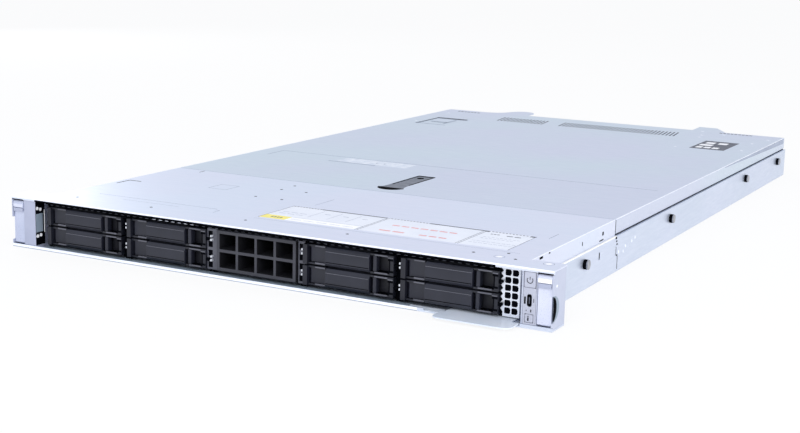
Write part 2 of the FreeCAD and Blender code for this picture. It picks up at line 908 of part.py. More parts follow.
def fan_rotor(k):
    y = (rotor_start, fan_start + fan_length - motor_length - clearance)
    middle = sum(y) / 2
    turn = math.radians(blade_angle)
    # Each blade is a flat plate set at an angle, narrow enough for its corners to clear the tunnel
    half = blade_thickness / 2 * math.cos(turn) + blade_chord / 2 * math.sin(turn)
    reach = math.sqrt(rotor_radius ** 2 - half ** 2)
    blades = []
    for n in range(blade_count):
        blade = box((hub_radius - 1.0, reach), around(middle, blade_chord), around(0, blade_thickness))
        blade.rotate(FreeCAD.Vector(0, middle, 0), unit["x"], blade_angle)
        blade.rotate(FreeCAD.Vector(0, 0, 0), unit["y"], n * 360.0 / blade_count)
        blades.append(blade)
    hub = prism("y", (0, 0), hub_radius, y, 8)
    bore = prism_hole("y", (0, 0), spindle_radius + pin_clearance, (y[0] + hub_cap, y[1] + 1), 6)
    return moved(cut(join(hub, *blades), bore), x=fan_x(k), z=fan_z())


def sink_y():
    return (board_start + board_end) / 2


def board_half():
    return inner_x - board_side_gap


def motherboard():
    top = board_height + board_thickness
    board = box((-board_half(), board_half()), (board_start, board_end), (board_height, top))
    posts = []
    for x in (-0.93, 0.0, 0.93):
        for part in (0.06, 0.94):
            y = board_start + part * (board_end - board_start)
            posts.append(prism("z", (x * board_half(), y), post_radius, (sheet, board_height), 6))
    sockets = []
    for side in (-1, 1):
        sockets.append(box(around(side * sink_offset, 0.9 * sink_size[0]),
                           around(sink_y(), 0.6 * sink_size[1]), (top, top + sink_socket)))
        for bank in (outer_memory(side), inner_memory(side)):
            # The sockets of a bank stand side by side, drawn as one block
            x = grown((min(bank), max(bank)), memory_socket[0] / 2)
            sockets.append(box(x, around(sink_y(), memory_size[0] + clearance), (top, top + memory_socket[1])))
    return join(board, *(posts + sockets))


def outer_memory(side):
    start = sink_offset + sink_size[0] / 2 + memory_pitch
    return [side * (start + k * memory_pitch) for k in range(memory_count)]


def inner_memory(side):
    start = sink_offset - sink_size[0] / 2 - memory_pitch
    return [side * (start - k * memory_pitch) for k in range(inner_memory_count)]


def heat_sink(side):
    low = board_height + board_thickness + sink_socket
    x = around(side * sink_offset, sink_size[0])
    y = around(sink_y(), sink_size[1])
    base = box(x, y, (low, low + sink_base))
    fins = []
    pitch = (sink_size[0] - fin_thickness) / (sink_fins - 1)
    for k in range(sink_fins):
        left = x[0] + k * pitch
        fins.append(box((left, left + fin_thickness), y, (low + sink_base, low + sink_size[2])))
    return join(base, *fins)


def memory_module(x):
    low = board_height + board_thickness + memory_socket[1]
    return box(around(x, memory_thickness), around(sink_y(), memory_size[0]), (low, low + memory_size[1]))


# Rear

def psu_x():
    return (inner_x - psu_gap - psu_width, inner_x - psu_gap)


def psu_handle(left, middle):
    # A strap bent into a square arch
    bar = psu_handle_bar
    x = around(left + handle_offset, psu_handle_width)
    strap = box(x, (body_depth - 1, body_depth + psu_handle_reach), around(middle, psu_handle_height))
    strap = soften(strap, "x", psu_handle_corner, lambda p: p.y > body_depth)
    inside = box(grown(x, 1.0), (body_depth, body_depth + psu_handle_reach - bar),
                 around(middle, psu_handle_height - 2 * bar))
    inside = bevel(inside, "x", psu_handle_corner - bar, lambda p: p.y > body_depth + bar)
    return cut(strap, inside)


def psu():
    x = psu_x()
    rear = body_depth
    middle = (psu_floor + psu_top) / 2
    case = bevel(box(x, (rear - psu_length, rear), (psu_floor, psu_top)), "y", 0.8)
    inlet_x, inlet_z = x[0] + inlet_offset, middle + inlet_rise
    tools = [box(around(inlet_x, inlet_size[0]), (rear - inlet_depth, rear + 1),
                 around(inlet_z, inlet_size[1]))]
    blades = []
    for dx, dz in inlet_blades:
        blades.append(box(around(inlet_x + dx, inlet_blade[0]), (rear - inlet_depth - 1, rear - 3.0),
                          around(inlet_z + dz, inlet_blade[1])))
    well = psu_latch_width + 2 * psu_latch_travel + 2 * clearance
    tools.append(box(around(x[0] + latch_offset, well), (rear - psu_latch_well, rear + 1),
                     around(middle, psu_latch_height + 2 * clearance)))
    for k in range(psu_grille_count):
        low = psu_floor + 3.0 + k * psu_grille_pitch
        tools.append(box((x[0] + psu_grille_start, x[1] - 4.0), (rear - 3.0, rear + 1),
                         (low, low + psu_grille_slot)))
    return join(cut(case, *tools), psu_handle(x[0], middle), *blades)


def psu_latch():
    middle = (psu_floor + psu_top) / 2
    span = around(psu_x()[0] + latch_offset, psu_latch_width)
    stem = box(span, (body_depth - psu_latch_well + clearance, body_depth + 6.0),
               around(middle, psu_latch_height))
    pad = box((span[0] - 1.0, span[1]), (body_depth + 5.0, body_depth + psu_latch_reach),
              around(middle, psu_latch_pad))
    pad = bevel(pad, "x", 3.0, lambda p: p.y > body_depth + 6.0)
    return join(stem, pad)


def slot_windows():
    windows = []
    for k in (-1, 0, 1):
        windows.append((around(k * slot_pitch, slot_pitch - slot_spacing),
                        (slot_floor, slot_floor + slot_window_height)))
    windows.append((card_window, (port_row, port_row + card_window_height)))
    return windows


def port_places():
    # Kind, centre and size of each connector in the lower row
    network = [("network", x, network_size) for x in network_places]
    return network + [("serial", serial_place, serial_size), ("usb", usb_place, usb_size)]


def rear_panel():
    span = psu_x()[0] - 1.0
    plate = box((-span, span), (body_depth - sheet, body_depth), (sheet, ceiling - 2 * clearance))
    through = (body_depth - 2 * sheet, body_depth + 1)
    tools = [box(x, through, z) for x, z in slot_windows()]
    for kind, x, size in port_places():
        tools.append(box(around(x, size[0] + 2 * port_gap), through,
                         grown((port_row, port_row + size[1]), port_gap)))
    for column in range(rear_vent_grid[0]):
        for row in range(rear_vent_grid[1]):
            x = rear_vent_start + column * rear_vent_pitch[0]
            z = port_row + 1.0 + row * rear_vent_pitch[1]
            tools.append(box((x, x + rear_vent_size[0]), through, (z, z + rear_vent_size[1])))
    return cut(plate, *tools)


def slot_bracket(x, z):
    # A vented plate that closes one expansion slot from behind
    back = body_depth - sheet
    plate = box(grown(x, bracket_lap[0]), (back - bracket_sheet, back), grown(z, bracket_lap[1]))
    tools = []
    count = int((x[1] - x[0] - bracket_slot) / bracket_pitch)
    for k in range(count):
        left = x[0] + 4.0 + k * bracket_pitch
        tools.append(box((left, left + bracket_slot), (back - 2 * bracket_sheet, back + 1), grown(z, -2.0)))
    return cut(plate, *tools)


def slot_brackets():
    return [slot_bracket(x, z) for x, z in slot_windows()]


def rear_ports():
    shells = []
    for kind, x, size in port_places():
        rear = body_depth
        z = port_row + size[1] / 2
        block = box(around(x, size[0]), (rear - port_depth_behind, rear + port_lip), around(z, size[1]))
        if kind == "network":
            width, tall, deep = network_mouth
            block = cut(block, box(around(x, width), (rear - deep, rear + 2), around(z, tall)))
        if kind == "serial":
            width, tall, reach = serial_face
            face = box(around(x, width), (rear, rear + reach), around(z, tall))
            block = join(block, bevel(face, "y", 2.0))
        if kind == "usb":
            width, tall, deep = usb_mouth
            block = cut(block, box(around(x, width), (rear - deep, rear + 2), around(z, tall)))
            tongue = box(around(x, usb_tongue[0]), (rear - deep - 1.0, rear - 1.0), (z, z + usb_tongue[1]))
            block = join(block, tongue)
        shells.append(block)
    return shells


def shoulder_studs():
    # Each stud has a neck, then a flat head that locks in a rail's keyhole
    neck_end = half_body + stud_neck_length
    right = []
    for y in stud_places:
        centre = (y, stud_height)
        neck = prism("x", centre, stud_neck_radius, (half_body, neck_end + 0.1), 8)
        head = rod("x", centre, stud_head_radius, (neck_end, neck_end + stud_head_length))
        right.append(join(neck, head))
    return right + [mirrored(stud) for stud in right]


# Save every piece

def main():
    os.makedirs("parts", exist_ok=True)
    save("chassis_base", chassis_base())
    save("front_top_panel", front_top_panel())
    save("system_cover", system_cover())
    save("cover_latch_base", cover_latch_base())
    save("cover_latch_lever", cover_latch_lever())
    save("left_ear", left_ear())
    save("right_ear", right_ear())
    save("right_ear_latch", ear_latch())
    save("left_ear_latch", mirrored(ear_latch()))
    save("control_panel", control_panel())
    save("power_button", power_button())
    save("info_button", info_button())
    save("vent_strip", vent_strip())
    save("info_tag", info_tag())
    save("bay_blank", bay_blank())
    save("drive_cage", drive_cage())
    save("backplane", backplane())
    frame, drive = carrier_frame(), drive_body()
    handle, button = carrier_handle(), carrier_button()
    number = 0
    for bay in range(bay_count):
        if bay == blank_bay:
            continue
        for row in range(2):
            number += 1
            spot = {"x": bay_left(bay), "z": row_floor(row)}
            save(f"drive_carrier_{number}", moved(frame, **spot), moved(drive, **spot))
            save(f"carrier_handle_{number}", moved(handle, **spot))
            save(f"carrier_button_{number}", moved(button, **spot))
    save("fan_modules", *[fan_module(k) for k in range(fan_count)])
    for k in range(fan_count):
        save(f"fan_rotor_{k + 1}", fan_rotor(k))
    save("motherboard", motherboard())
    save("heat_sinks", heat_sink(-1), heat_sink(1))
    places = outer_memory(-1) + inner_memory(-1) + inner_memory(1) + outer_memory(1)
    save("memory_modules", *[memory_module(x) for x in places])
    save("rear_panel", rear_panel())
    save("slot_brackets", *slot_brackets())
    save("rear_ports", *rear_ports())
    save("psu_2", psu())
    save("psu_2_latch", psu_latch())
    save("psu_1", mirrored(psu()))
    save("psu_1_latch", mirrored(psu_latch()))
    save("shoulder_studs", *shoulder_studs())


main()
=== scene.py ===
import bpy
import math
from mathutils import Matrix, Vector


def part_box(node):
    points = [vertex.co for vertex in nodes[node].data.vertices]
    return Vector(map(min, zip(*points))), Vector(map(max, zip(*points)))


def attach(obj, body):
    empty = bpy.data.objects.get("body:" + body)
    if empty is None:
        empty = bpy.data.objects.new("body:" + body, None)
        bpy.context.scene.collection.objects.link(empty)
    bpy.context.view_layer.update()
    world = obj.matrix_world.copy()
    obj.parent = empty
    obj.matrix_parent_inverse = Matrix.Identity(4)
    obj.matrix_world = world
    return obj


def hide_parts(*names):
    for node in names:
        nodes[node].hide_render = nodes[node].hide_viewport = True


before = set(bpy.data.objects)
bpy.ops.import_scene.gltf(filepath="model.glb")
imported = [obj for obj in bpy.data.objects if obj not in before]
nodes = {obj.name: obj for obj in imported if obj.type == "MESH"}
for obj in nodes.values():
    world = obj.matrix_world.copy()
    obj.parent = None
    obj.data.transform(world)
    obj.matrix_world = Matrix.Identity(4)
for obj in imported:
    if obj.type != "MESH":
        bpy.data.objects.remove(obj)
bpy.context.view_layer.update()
print("frame loaded:", len(nodes), "CAD nodes")

# The front face of the rack ears and the top of the case: places below are millimetres from these
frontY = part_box("right_ear")[0].y
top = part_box("system_cover")[1].z * 1000
sides = {"left": -1, "right": 1}
carrierCount = 8
rotorCount = 7


def at(x, y, z=0.0):
    # A place in the part's millimetres as a place in the scene's metres
    return (x / 1000, frontY + y / 1000, z / 1000)


# Camera, floor and light

view = {
    "place": (0.57539, -1.25493, 0.25971),
    "tilt": 78.742,
    "roll": -1.370,
    "heading": 28.081,
    "lens": 63.11,
    "sensor": 36.0,
    "reach": 60.0,
}

studio = {
    "floorSize": 14.0,
    "floorDrop": 0.0005,
    "floorGlow": 0.86,
    "ambient": 0.86,
    "aim": (0.0, 0.0, 0.02),
}

# The flat top would mirror the two front lamps as one white patch, so only the sheen is mirrored
lamps = {
    "keyLamp": {"power": 24.0, "place": (0.5, -2.3, 1.2), "size": 1.6, "mirrored": False},
    "fillLamp": {"power": 22.0, "place": (2.3, -1.1, 0.8), "size": 1.4, "mirrored": False},
    "sheenLamp": {"power": 5.0, "place": (-2.1, 1.2, 0.7), "size": 0.9, "mirrored": True},
}


def deselectAll():
    if bpy.context.object and bpy.context.object.mode != "OBJECT":
        bpy.ops.object.mode_set(mode="OBJECT")
    bpy.ops.object.select_all(action="DESELECT")


def linear(hexText):
    # An sRGB hex colour as the linear values a shader wants
    values = []
    for k in (1, 3, 5):
        part = int(hexText[k:k + 2], 16) / 255
        values.append(part / 12.92 if part <= 0.04045 else ((part + 0.055) / 1.055) ** 2.4)
    return (values[0], values[1], values[2], 1.0)


def addNode(tree, kind, settings=None, links=None):
    # Adds one node, sets its options and sockets, and links its inputs
    node = tree.nodes.new(kind)
    for name, value in (settings or {}).items():
        if not isinstance(name, int) and hasattr(node, name):
            setattr(node, name, value)
        else:
            node.inputs[name].default_value = value
    for name, (source, output) in (links or {}).items():
        tree.links.new(source.outputs[output], node.inputs[name])
    return node


def startMaterial(name):
    material = bpy.data.materials.new(name)
    material.use_nodes = True
    tree = material.node_tree
    tree.nodes.clear()
    place = addNode(tree, "ShaderNodeTexCoord")
    return material, tree, place


def placeCamera():
    data = bpy.data.cameras.new("frontCamera")
    data.lens = view["lens"]
    data.sensor_width = view["sensor"]
    data.clip_end = view["reach"]
    camera = bpy.data.objects.new("frontCamera", data)
    camera.location = view["place"]
    camera.rotation_euler = [math.radians(view[k]) for k in ("tilt", "roll", "heading")]
    bpy.context.collection.objects.link(camera)
    bpy.context.scene.camera = camera


def placeLamp(name, look):
    # A square soft lamp turned towards the middle of the part
    data = bpy.data.lights.new(name, "AREA")
    data.energy = look["power"]
    data.shape = "SQUARE"
    data.size = look["size"]
    lamp = bpy.data.objects.new(name, data)
    lamp.location = look["place"]
    dx, dy, dz = [t - p for t, p in zip(studio["aim"], look["place"])]
    lamp.rotation_euler = (math.atan2(math.hypot(dx, dy), -dz), 0.0, math.atan2(dy, dx) - math.pi / 2)
    lamp.visible_glossy = look["mirrored"]
    bpy.context.collection.objects.link(lamp)


def paleFloor():
    # Matt studio paper: nearly white to the eye of the camera, and it keeps the server's soft shadow
    material, tree, place = startMaterial("studioPaper")
    cloud = addNode(tree, "ShaderNodeTexNoise", {"Scale": 3.0, "Detail": 3.0}, {"Vector": (place, "Object")})
    tone = addNode(tree, "ShaderNodeMix", {"data_type": "RGBA", 6: linear("#F2F3F5"), 7: linear("#F7F8FA")},
                   {"Factor": (cloud, "Fac")})
    paper = addNode(tree, "ShaderNodeBsdfDiffuse", None, {"Color": (tone, 2)})
    glow = addNode(tree, "ShaderNodeEmission", {"Color": (1, 1, 1, 1), "Strength": 1.0})
    path = addNode(tree, "ShaderNodeLightPath")
    seen = addNode(tree, "ShaderNodeMath", {"operation": "MAXIMUM"},
                   {0: (path, "Is Camera Ray"), 1: (path, "Is Glossy Ray")})
    seenToo = addNode(tree, "ShaderNodeMath", {"operation": "MAXIMUM"},
                      {0: (seen, 0), 1: (path, "Is Transmission Ray")})
    share = addNode(tree, "ShaderNodeMath", {"operation": "MULTIPLY", 1: studio["floorGlow"]},
                    {0: (seenToo, 0)})
    both = addNode(tree, "ShaderNodeMixShader", None, {0: (share, 0), 1: (paper, 0), 2: (glow, 0)})
    addNode(tree, "ShaderNodeOutputMaterial", None, {"Surface": (both, 0)})
    return material


def layFloor():
    deselectAll()
    bpy.ops.mesh.primitive_plane_add(size=studio["floorSize"], location=(0, 0, -studio["floorDrop"]))
    floor = bpy.context.object
    floor.name = "studioFloor"
    bpy.ops.object.transform_apply(location=True, rotation=True, scale=True)
    floor.data.materials.append(paleFloor())


def lightWorld():
    # White to the camera, a little bluer and dimmer as light on the part
    world = bpy.data.worlds.new("studioWorld")
    bpy.context.scene.world = world
    world.use_nodes = True
    tree = world.node_tree
    tree.nodes.clear()
    path = addNode(tree, "ShaderNodeLightPath")
    soft = addNode(tree, "ShaderNodeBackground", {"Color": linear("#F4F7FF"), "Strength": studio["ambient"]})
    white = addNode(tree, "ShaderNodeBackground", {"Color": (1, 1, 1, 1), "Strength": 1.0})
    both = addNode(tree, "ShaderNodeMixShader", None,
                   {0: (path, "Is Camera Ray"), 1: (soft, 0), 2: (white, 0)})
    addNode(tree, "ShaderNodeOutputWorld", None, {"Surface": (both, 0)})


bpy.context.scene.view_settings.view_transform = "Standard"
placeCamera()
layFloor()
lightWorld()
for name, look in lamps.items():
    placeLamp(name, look)
print("camera, floor and lamps placed")


# Finishes. Sizes in each dictionary are millimetres.

def sheetMetal(name, look):
    # Rolled and plated sheet: faint long rolling lines, slow cloudy change of tone, satin gloss
    material, tree, place = startMaterial(name)
    along = addNode(tree, "ShaderNodeMapping", {"Scale": look["grainStretch"]}, {"Vector": (place, "Object")})
    cloud = addNode(tree, "ShaderNodeTexNoise",
                    {"Scale": 1000 / look["cloud"], "Detail": 2.0, "Roughness": 0.4},
                    {"Vector": (place, "Object")})
    grain = addNode(tree, "ShaderNodeTexNoise",
                    {"Scale": 1000 / look["grain"], "Detail": 4.0, "Roughness": 0.6},
                    {"Vector": (along, "Vector")})
    slow = addNode(tree, "ShaderNodeMapRange", {1: 0.35, 2: 0.65, 3: 0.0, 4: 1.0}, {"Value": (cloud, "Fac")})
    tone = addNode(tree, "ShaderNodeMix",
                   {"data_type": "RGBA", 6: linear(look["colours"][0]), 7: linear(look["colours"][1])},
                   {"Factor": (slow, 0)})
    fine = addNode(tree, "ShaderNodeMapRange", {1: 0.3, 2: 0.7, 3: 0.0, 4: look["grainTone"]},
                   {"Value": (grain, "Fac")})
    shade = addNode(tree, "ShaderNodeMix", {"data_type": "RGBA", 7: linear(look["colours"][2])},
                    {"Factor": (fine, 0), 6: (tone, 2)})
    gloss = addNode(tree, "ShaderNodeMapRange",
                    {1: 0.25, 2: 0.75, 3: look["roughness"][0], 4: look["roughness"][1]},
                    {"Value": (grain, "Fac")})
    relief = addNode(tree, "ShaderNodeBump", {"Strength": look["relief"], "Distance": 0.00004},
                     {"Height": (grain, "Fac")})
    shader = addNode(tree, "ShaderNodeBsdfPrincipled", {"Metallic": look["metallic"]},
                     {"Base Color": (shade, 2), "Roughness": (gloss, 0), "Normal": (relief, 0)})
    addNode(tree, "ShaderNodeOutputMaterial", None, {"Surface": (shader, 0)})
    return material


def mouldedPlastic(name, look):
    # Injection moulded plastic: an even eroded grain, slightly uneven gloss, tone that drifts a little
    material, tree, place = startMaterial(name)
    cloud = addNode(tree, "ShaderNodeTexNoise", {"Scale": 1000 / look["cloud"], "Detail": 2.0},
                    {"Vector": (place, "Object")})
    grain = addNode(tree, "ShaderNodeTexVoronoi", {"Scale": 1000 / look["grain"], "feature": "SMOOTH_F1"},
                    {"Vector": (place, "Object")})
    speck = addNode(tree, "ShaderNodeTexNoise", {"Scale": 1400 / look["grain"], "Detail": 2.0},
                    {"Vector": (place, "Object")})
    slow = addNode(tree, "ShaderNodeMapRange", {1: 0.35, 2: 0.65}, {"Value": (cloud, "Fac")})
    tone = addNode(tree, "ShaderNodeMix",
                   {"data_type": "RGBA", 6: linear(look["colours"][0]), 7: linear(look["colours"][1])},
                   {"Factor": (slow, 0)})
    dust = addNode(tree, "ShaderNodeMapRange", {1: 0.55, 2: 0.75, 3: 0.0, 4: look["speckTone"]},
                   {"Value": (speck, "Fac")})
    shade = addNode(tree, "ShaderNodeMix", {"data_type": "RGBA", 7: linear(look["colours"][2])},
                    {"Factor": (dust, 0), 6: (tone, 2)})
    gloss = addNode(tree, "ShaderNodeMapRange",
                    {1: 0.3, 2: 0.7, 3: look["roughness"][0], 4: look["roughness"][1]},
                    {"Value": (speck, "Fac")})
    relief = addNode(tree, "ShaderNodeBump", {"Strength": look["relief"], "Distance": 0.00005},
                     {"Height": (grain, "Distance")})
    shader = addNode(tree, "ShaderNodeBsdfPrincipled", {"IOR": look["ior"]},
                     {"Base Color": (shade, 2), "Roughness": (gloss, 0), "Normal": (relief, 0)})
    if "clearness" in look:
        shader.inputs["Transmission Weight"].default_value = look["clearness"]
    if "metallic" in look:
        shader.inputs["Metallic"].default_value = look["metallic"]
    addNode(tree, "ShaderNodeOutputMaterial", None, {"Surface": (shader, 0)})
    return material


def boardLaminate(name, look):
    # Glass-epoxy board under solder mask: darker mask, paler copper tracks on a fine square grid
    material, tree, place = startMaterial(name)
    tracks = addNode(tree, "ShaderNodeTexBrick",
                     {"Scale": 1000 / look["track"], "Mortar Size": 0.06,
                      "Brick Width": 0.9, "Row Height": 0.22,
                      "Color1": linear(look["colours"][0]), "Color2": linear(look["colours"][1]),
                      "Mortar": linear(look["colours"][2])},
                     {"Vector": (place, "Object")})
    cloud = addNode(tree, "ShaderNodeTexNoise", {"Scale": 1000 / look["cloud"], "Detail": 4.0},
                    {"Vector": (place, "Object")})
    drift = addNode(tree, "ShaderNodeMapRange", {1: 0.4, 2: 0.7, 3: 0.0, 4: 0.6}, {"Value": (cloud, "Fac")})
    shade = addNode(tree, "ShaderNodeMix", {"data_type": "RGBA", 7: linear(look["colours"][1])},
                    {"Factor": (drift, 0), 6: (tracks, "Color")})
    relief = addNode(tree, "ShaderNodeBump", {"Strength": 0.3, "Distance": 0.00004},
                     {"Height": (tracks, "Fac")})
    shader = addNode(tree, "ShaderNodeBsdfPrincipled", {"IOR": 1.5, "Roughness": 0.38},
                     {"Base Color": (shade, 2), "Normal": (relief, 0)})
    addNode(tree, "ShaderNodeOutputMaterial", None, {"Surface": (shader, 0)})
    return material


# Hot-dip zinc plated steel: pale blue-white, satin, a soft drift between bluish and lilac tones
zincCover = sheetMetal("zincPlatedCover", {
    "colours": ("#D3E1EC", "#D6DCEE", "#C3CFDF"),
    "cloud": 160.0, "grain": 2.4, "grainStretch": (0.12, 1.0, 1.0), "grainTone": 0.22,
    "roughness": (0.30, 0.40), "relief": 0.10, "metallic": 0.72,
})
# The front panel is the same sheet, painted brighter than the cover for the light falling on the front of the
# top
zincPanel = sheetMetal("zincPlatedPanel", {
    "colours": ("#DFE8F8", "#E2E6F7", "#CFDAEB"),
    "cloud": 140.0, "grain": 2.2, "grainStretch": (0.12, 1.0, 1.0), "grainTone": 0.2,
    "roughness": (0.30, 0.40), "relief": 0.10, "metallic": 0.66,
})
# The same sheet, used for the tray: its side wall and floor are a little duller
zincTray = sheetMetal("zincPlatedTray", {
    "colours": ("#DCE3F4", "#D5DEEE", "#C3CEDF"),
    "cloud": 120.0, "grain": 2.0, "grainStretch": (1.0, 0.12, 1.0), "grainTone": 0.25,
    "roughness": (0.34, 0.46), "relief": 0.12, "metallic": 0.70,
})
# Bright nickel plated steel of the perforated strip: nearly white, finer and smoother; the same finish gives
# the painted highlight on a few roof fingers
nickelStripAndHighlight = sheetMetal("nickelPlatedStripAndHighlight", {
    "colours": ("#F0F2F8", "#E8ECF5", "#D8DEEA"),
    "cloud": 60.0, "grain": 1.2, "grainStretch": (1.0, 1.0, 0.2), "grainTone": 0.2,
    "roughness": (0.32, 0.42), "relief": 0.08, "metallic": 0.45,
})
# Galvanised cage steel, painted dark for the shade inside the bays: grey with a cold cast
zincCage = sheetMetal("galvanisedCage", {
    "colours": ("#4A5258", "#40484E", "#5E676D"),
    "cloud": 40.0, "grain": 1.6, "grainStretch": (1.0, 0.2, 1.0), "grainTone": 0.3,
    "roughness": (0.42, 0.55), "relief": 0.15, "metallic": 0.8,
})
# Silver lacquer on die-cast zinc: even, slightly lilac, fine metal flake
earLacquer = {
    "colours": ("#C6CBDC", "#BCC2D5", "#DCE0EC"),
    "cloud": 30.0, "grain": 0.7, "speckTone": 0.35,
    "roughness": (0.34, 0.50), "relief": 0.22, "ior": 1.5, "metallic": 0.35,
}
lacquerEar = mouldedPlastic("silverLacquer", earLacquer)
# Painted shade: the left ear's lacquer, darker than the right one's for the shade on the left ear
shadedEar = mouldedPlastic("shadedLacquer", {**earLacquer, "colours": ("#B4B9CE", "#ABB1C7", "#C9CEDF")})
# The ear latches carry the same lacquer, a shade paler and glossier; it also gives the painted highlight band
# on the left pull
latchLacquer = {
    "colours": ("#D6DAEC", "#CED3E7", "#E2E5F2"),
    "cloud": 24.0, "grain": 0.7, "speckTone": 0.12,
    "roughness": (0.26, 0.40), "relief": 0.18, "ior": 1.5, "metallic": 0.3,
}
lacquerLatchAndGlint = mouldedPlastic("polishedLacquerAndGlint", latchLacquer)
# Painted shade: the left ear's pull, darker in the same way as its ear
shadedLatch = mouldedPlastic("shadedPolishedLacquer", {
    **latchLacquer, "colours": ("#C3C9DE", "#BAC1D8", "#D3D8E8"),
})
# Silver-grey ABS of the control panel: fine matt grain
absPanel = mouldedPlastic("silverGreyAbs", {
    "colours": ("#B4B7C5", "#A9ACBB", "#C8CAD6"),
    "cloud": 25.0, "grain": 0.8, "speckTone": 0.25,
    "roughness": (0.42, 0.55), "relief": 0.20, "ior": 1.53,
})
# Clear polycarbonate with a frosted face: pale, lets some light through
clearTag = mouldedPlastic("frostedPolycarbonate", {
    "colours": ("#E2E9F4", "#D8E2F0", "#ECEFF6"),
    "cloud": 30.0, "grain": 1.2, "speckTone": 0.08,
    "roughness": (0.30, 0.42), "relief": 0.03, "ior": 1.58, "clearness": 0.04,
})
# Charcoal PC/ABS of the drive carriers: dark with a cold cast, eroded grain that catches soft light
absCarrier = mouldedPlastic("charcoalAbs", {
    "colours": ("#1B1D28", "#171923", "#262935"),
    "cloud": 30.0, "grain": 0.7, "speckTone": 0.35,
    "roughness": (0.46, 0.62), "relief": 0.35, "ior": 1.53,
})
# The carriers' handles: the same plastic, a shade paler
absHandle = mouldedPlastic("handleAbs", {
    "colours": ("#232531", "#1E202B", "#2F3240"),
    "cloud": 26.0, "grain": 0.7, "speckTone": 0.30,
    "roughness": (0.40, 0.56), "relief": 0.30, "ior": 1.53,
})
# Glass filled nylon of the blank: charcoal, dull
nylonBlank = mouldedPlastic("glassFilledNylon", {
    "colours": ("#3C3D45", "#35363E", "#4A4B53"),
    "cloud": 22.0, "grain": 0.8, "speckTone": 0.3,
    "roughness": (0.50, 0.66), "relief": 0.35, "ior": 1.53,
})
# Black PBT of the fans and the latch tray: very dark, dull; also the painted shade in the deep cells of the
# blank
pbtBlackAndShade = mouldedPlastic("blackPbtAndPaintedShade", {
    "colours": ("#16161A", "#1C1C21", "#2A2A30"),
    "cloud": 20.0, "grain": 0.9, "speckTone": 0.25,
    "roughness": (0.50, 0.64), "relief": 0.25, "ior": 1.55,
})
# Grey nylon of the cover latch: mid grey, satin where it is handled
nylonLatch = mouldedPlastic("greyNylon", {
    "colours": ("#6C727F", "#575D6A", "#878D9A"),
    "cloud": 7.0, "grain": 0.9, "speckTone": 0.6,
    "roughness": (0.40, 0.56), "relief": 0.3, "ior": 1.53,
})
# Terracotta nylon of the power supply releases: warm, satin
nylonRelease = mouldedPlastic("terracottaNylon", {
    "colours": ("#B4532E", "#A84B29", "#C56A45"),
    "cloud": 15.0, "grain": 0.8, "speckTone": 0.25,
    "roughness": (0.38, 0.52), "relief": 0.25, "ior": 1.53,
})
# Extruded aluminium fins: bright, with drawing lines along the fins
aluminiumSink = sheetMetal("extrudedAluminium", {
    "colours": ("#C9CDD2", "#BFC4CA", "#AAB0B8"),
    "cloud": 50.0, "grain": 1.0, "grainStretch": (1.0, 0.08, 1.0), "grainTone": 0.35,
    "roughness": (0.28, 0.40), "relief": 0.2, "metallic": 1.0,
})
# Nickel plated steel of power supply cases: slightly warm grey, satin
nickelCase = sheetMetal("nickelPlatedCase", {
    "colours": ("#B9BCC0", "#AEB2B7", "#999EA5"),
    "cloud": 50.0, "grain": 1.6, "grainStretch": (1.0, 0.15, 1.0), "grainTone": 0.3,
    "roughness": (0.32, 0.45), "relief": 0.15, "metallic": 0.9,
})
# Nickel plated brass shells of the connectors: bright and smooth
nickelShell = sheetMetal("nickelPlatedBrass", {
    "colours": ("#C6C8CC", "#BBBEC4", "#A4A8B0"),
    "cloud": 12.0, "grain": 0.8, "grainStretch": (1.0, 0.3, 1.0), "grainTone": 0.25,
    "roughness": (0.22, 0.34), "relief": 0.1, "metallic": 1.0,
})
# Turned stainless steel of the studs: fine rings round the axis, bright face
steelStud = sheetMetal("turnedSteel", {
    "colours": ("#C2C4CA", "#9DA0A8", "#7E828C"),
    "cloud": 4.0, "grain": 0.6, "grainStretch": (1.0, 1.0, 1.0), "grainTone": 0.4,
    "roughness": (0.24, 0.38), "relief": 0.2, "metallic": 1.0,
})
# Painted shade for the dark hollow behind slots: a flat dark finish over the steel, so that an opening reads
# as one
blackSlot = mouldedPlastic("slotShade", {
    "colours": ("#3E4250", "#4A4F5E", "#5C6170"),
    "cloud": 30.0, "grain": 1.0, "speckTone": 0.2,
    "roughness": (0.6, 0.75), "relief": 0.1, "ior": 1.5,
})
# Matt black of black parts and print, and painted shade for what lies deep in shade
blackAndShade = mouldedPlastic("mattBlackAndPaintedShade", {
    "colours": ("#05060A", "#07080D", "#0B0C12"),
    "cloud": 10.0, "grain": 0.8, "speckTone": 0.1,
    "roughness": (0.8, 0.95), "relief": 0.1, "ior": 1.1,
})
# The carriers' plastic in the hollow of the finger scoop: the same grain, painted darker for the shade in the
# hollow
absShade = mouldedPlastic("shadedAbs", {
    "colours": ("#1D1E26", "#191A21", "#272830"),
    "cloud": 10.0, "grain": 0.7, "speckTone": 0.3,
    "roughness": (0.45, 0.6), "relief": 0.25, "ior": 1.5,
})
# Green solder mask on glass-epoxy laminate: dark and smooth, with paler tracks under the mask
greenBoard = boardLaminate("solderMaskedLaminate", {
    "colours": ("#0F3B24", "#15482D", "#2C6B45"), "track": 9.0, "cloud": 30.0,
})
# White polyester film of the service label: smooth, faintly blue, a little gloss
labelPolyester = mouldedPlastic("whitePolyesterFilm", {
    "colours": ("#DEE3EE", "#E5E9F2", "#D4DAE6"),
    "cloud": 30.0, "grain": 1.5, "speckTone": 0.15,
    "roughness": (0.34, 0.46), "relief": 0.05, "ior": 1.5,
})
# Screen printed inks: flat and matt, a little uneven where they lie thin on film and zinc
screenInk = {
    "cloud": 6.0, "grain": 0.6, "speckTone": 0.4,
    "roughness": (0.45, 0.6), "relief": 0.08, "ior": 1.5,
}
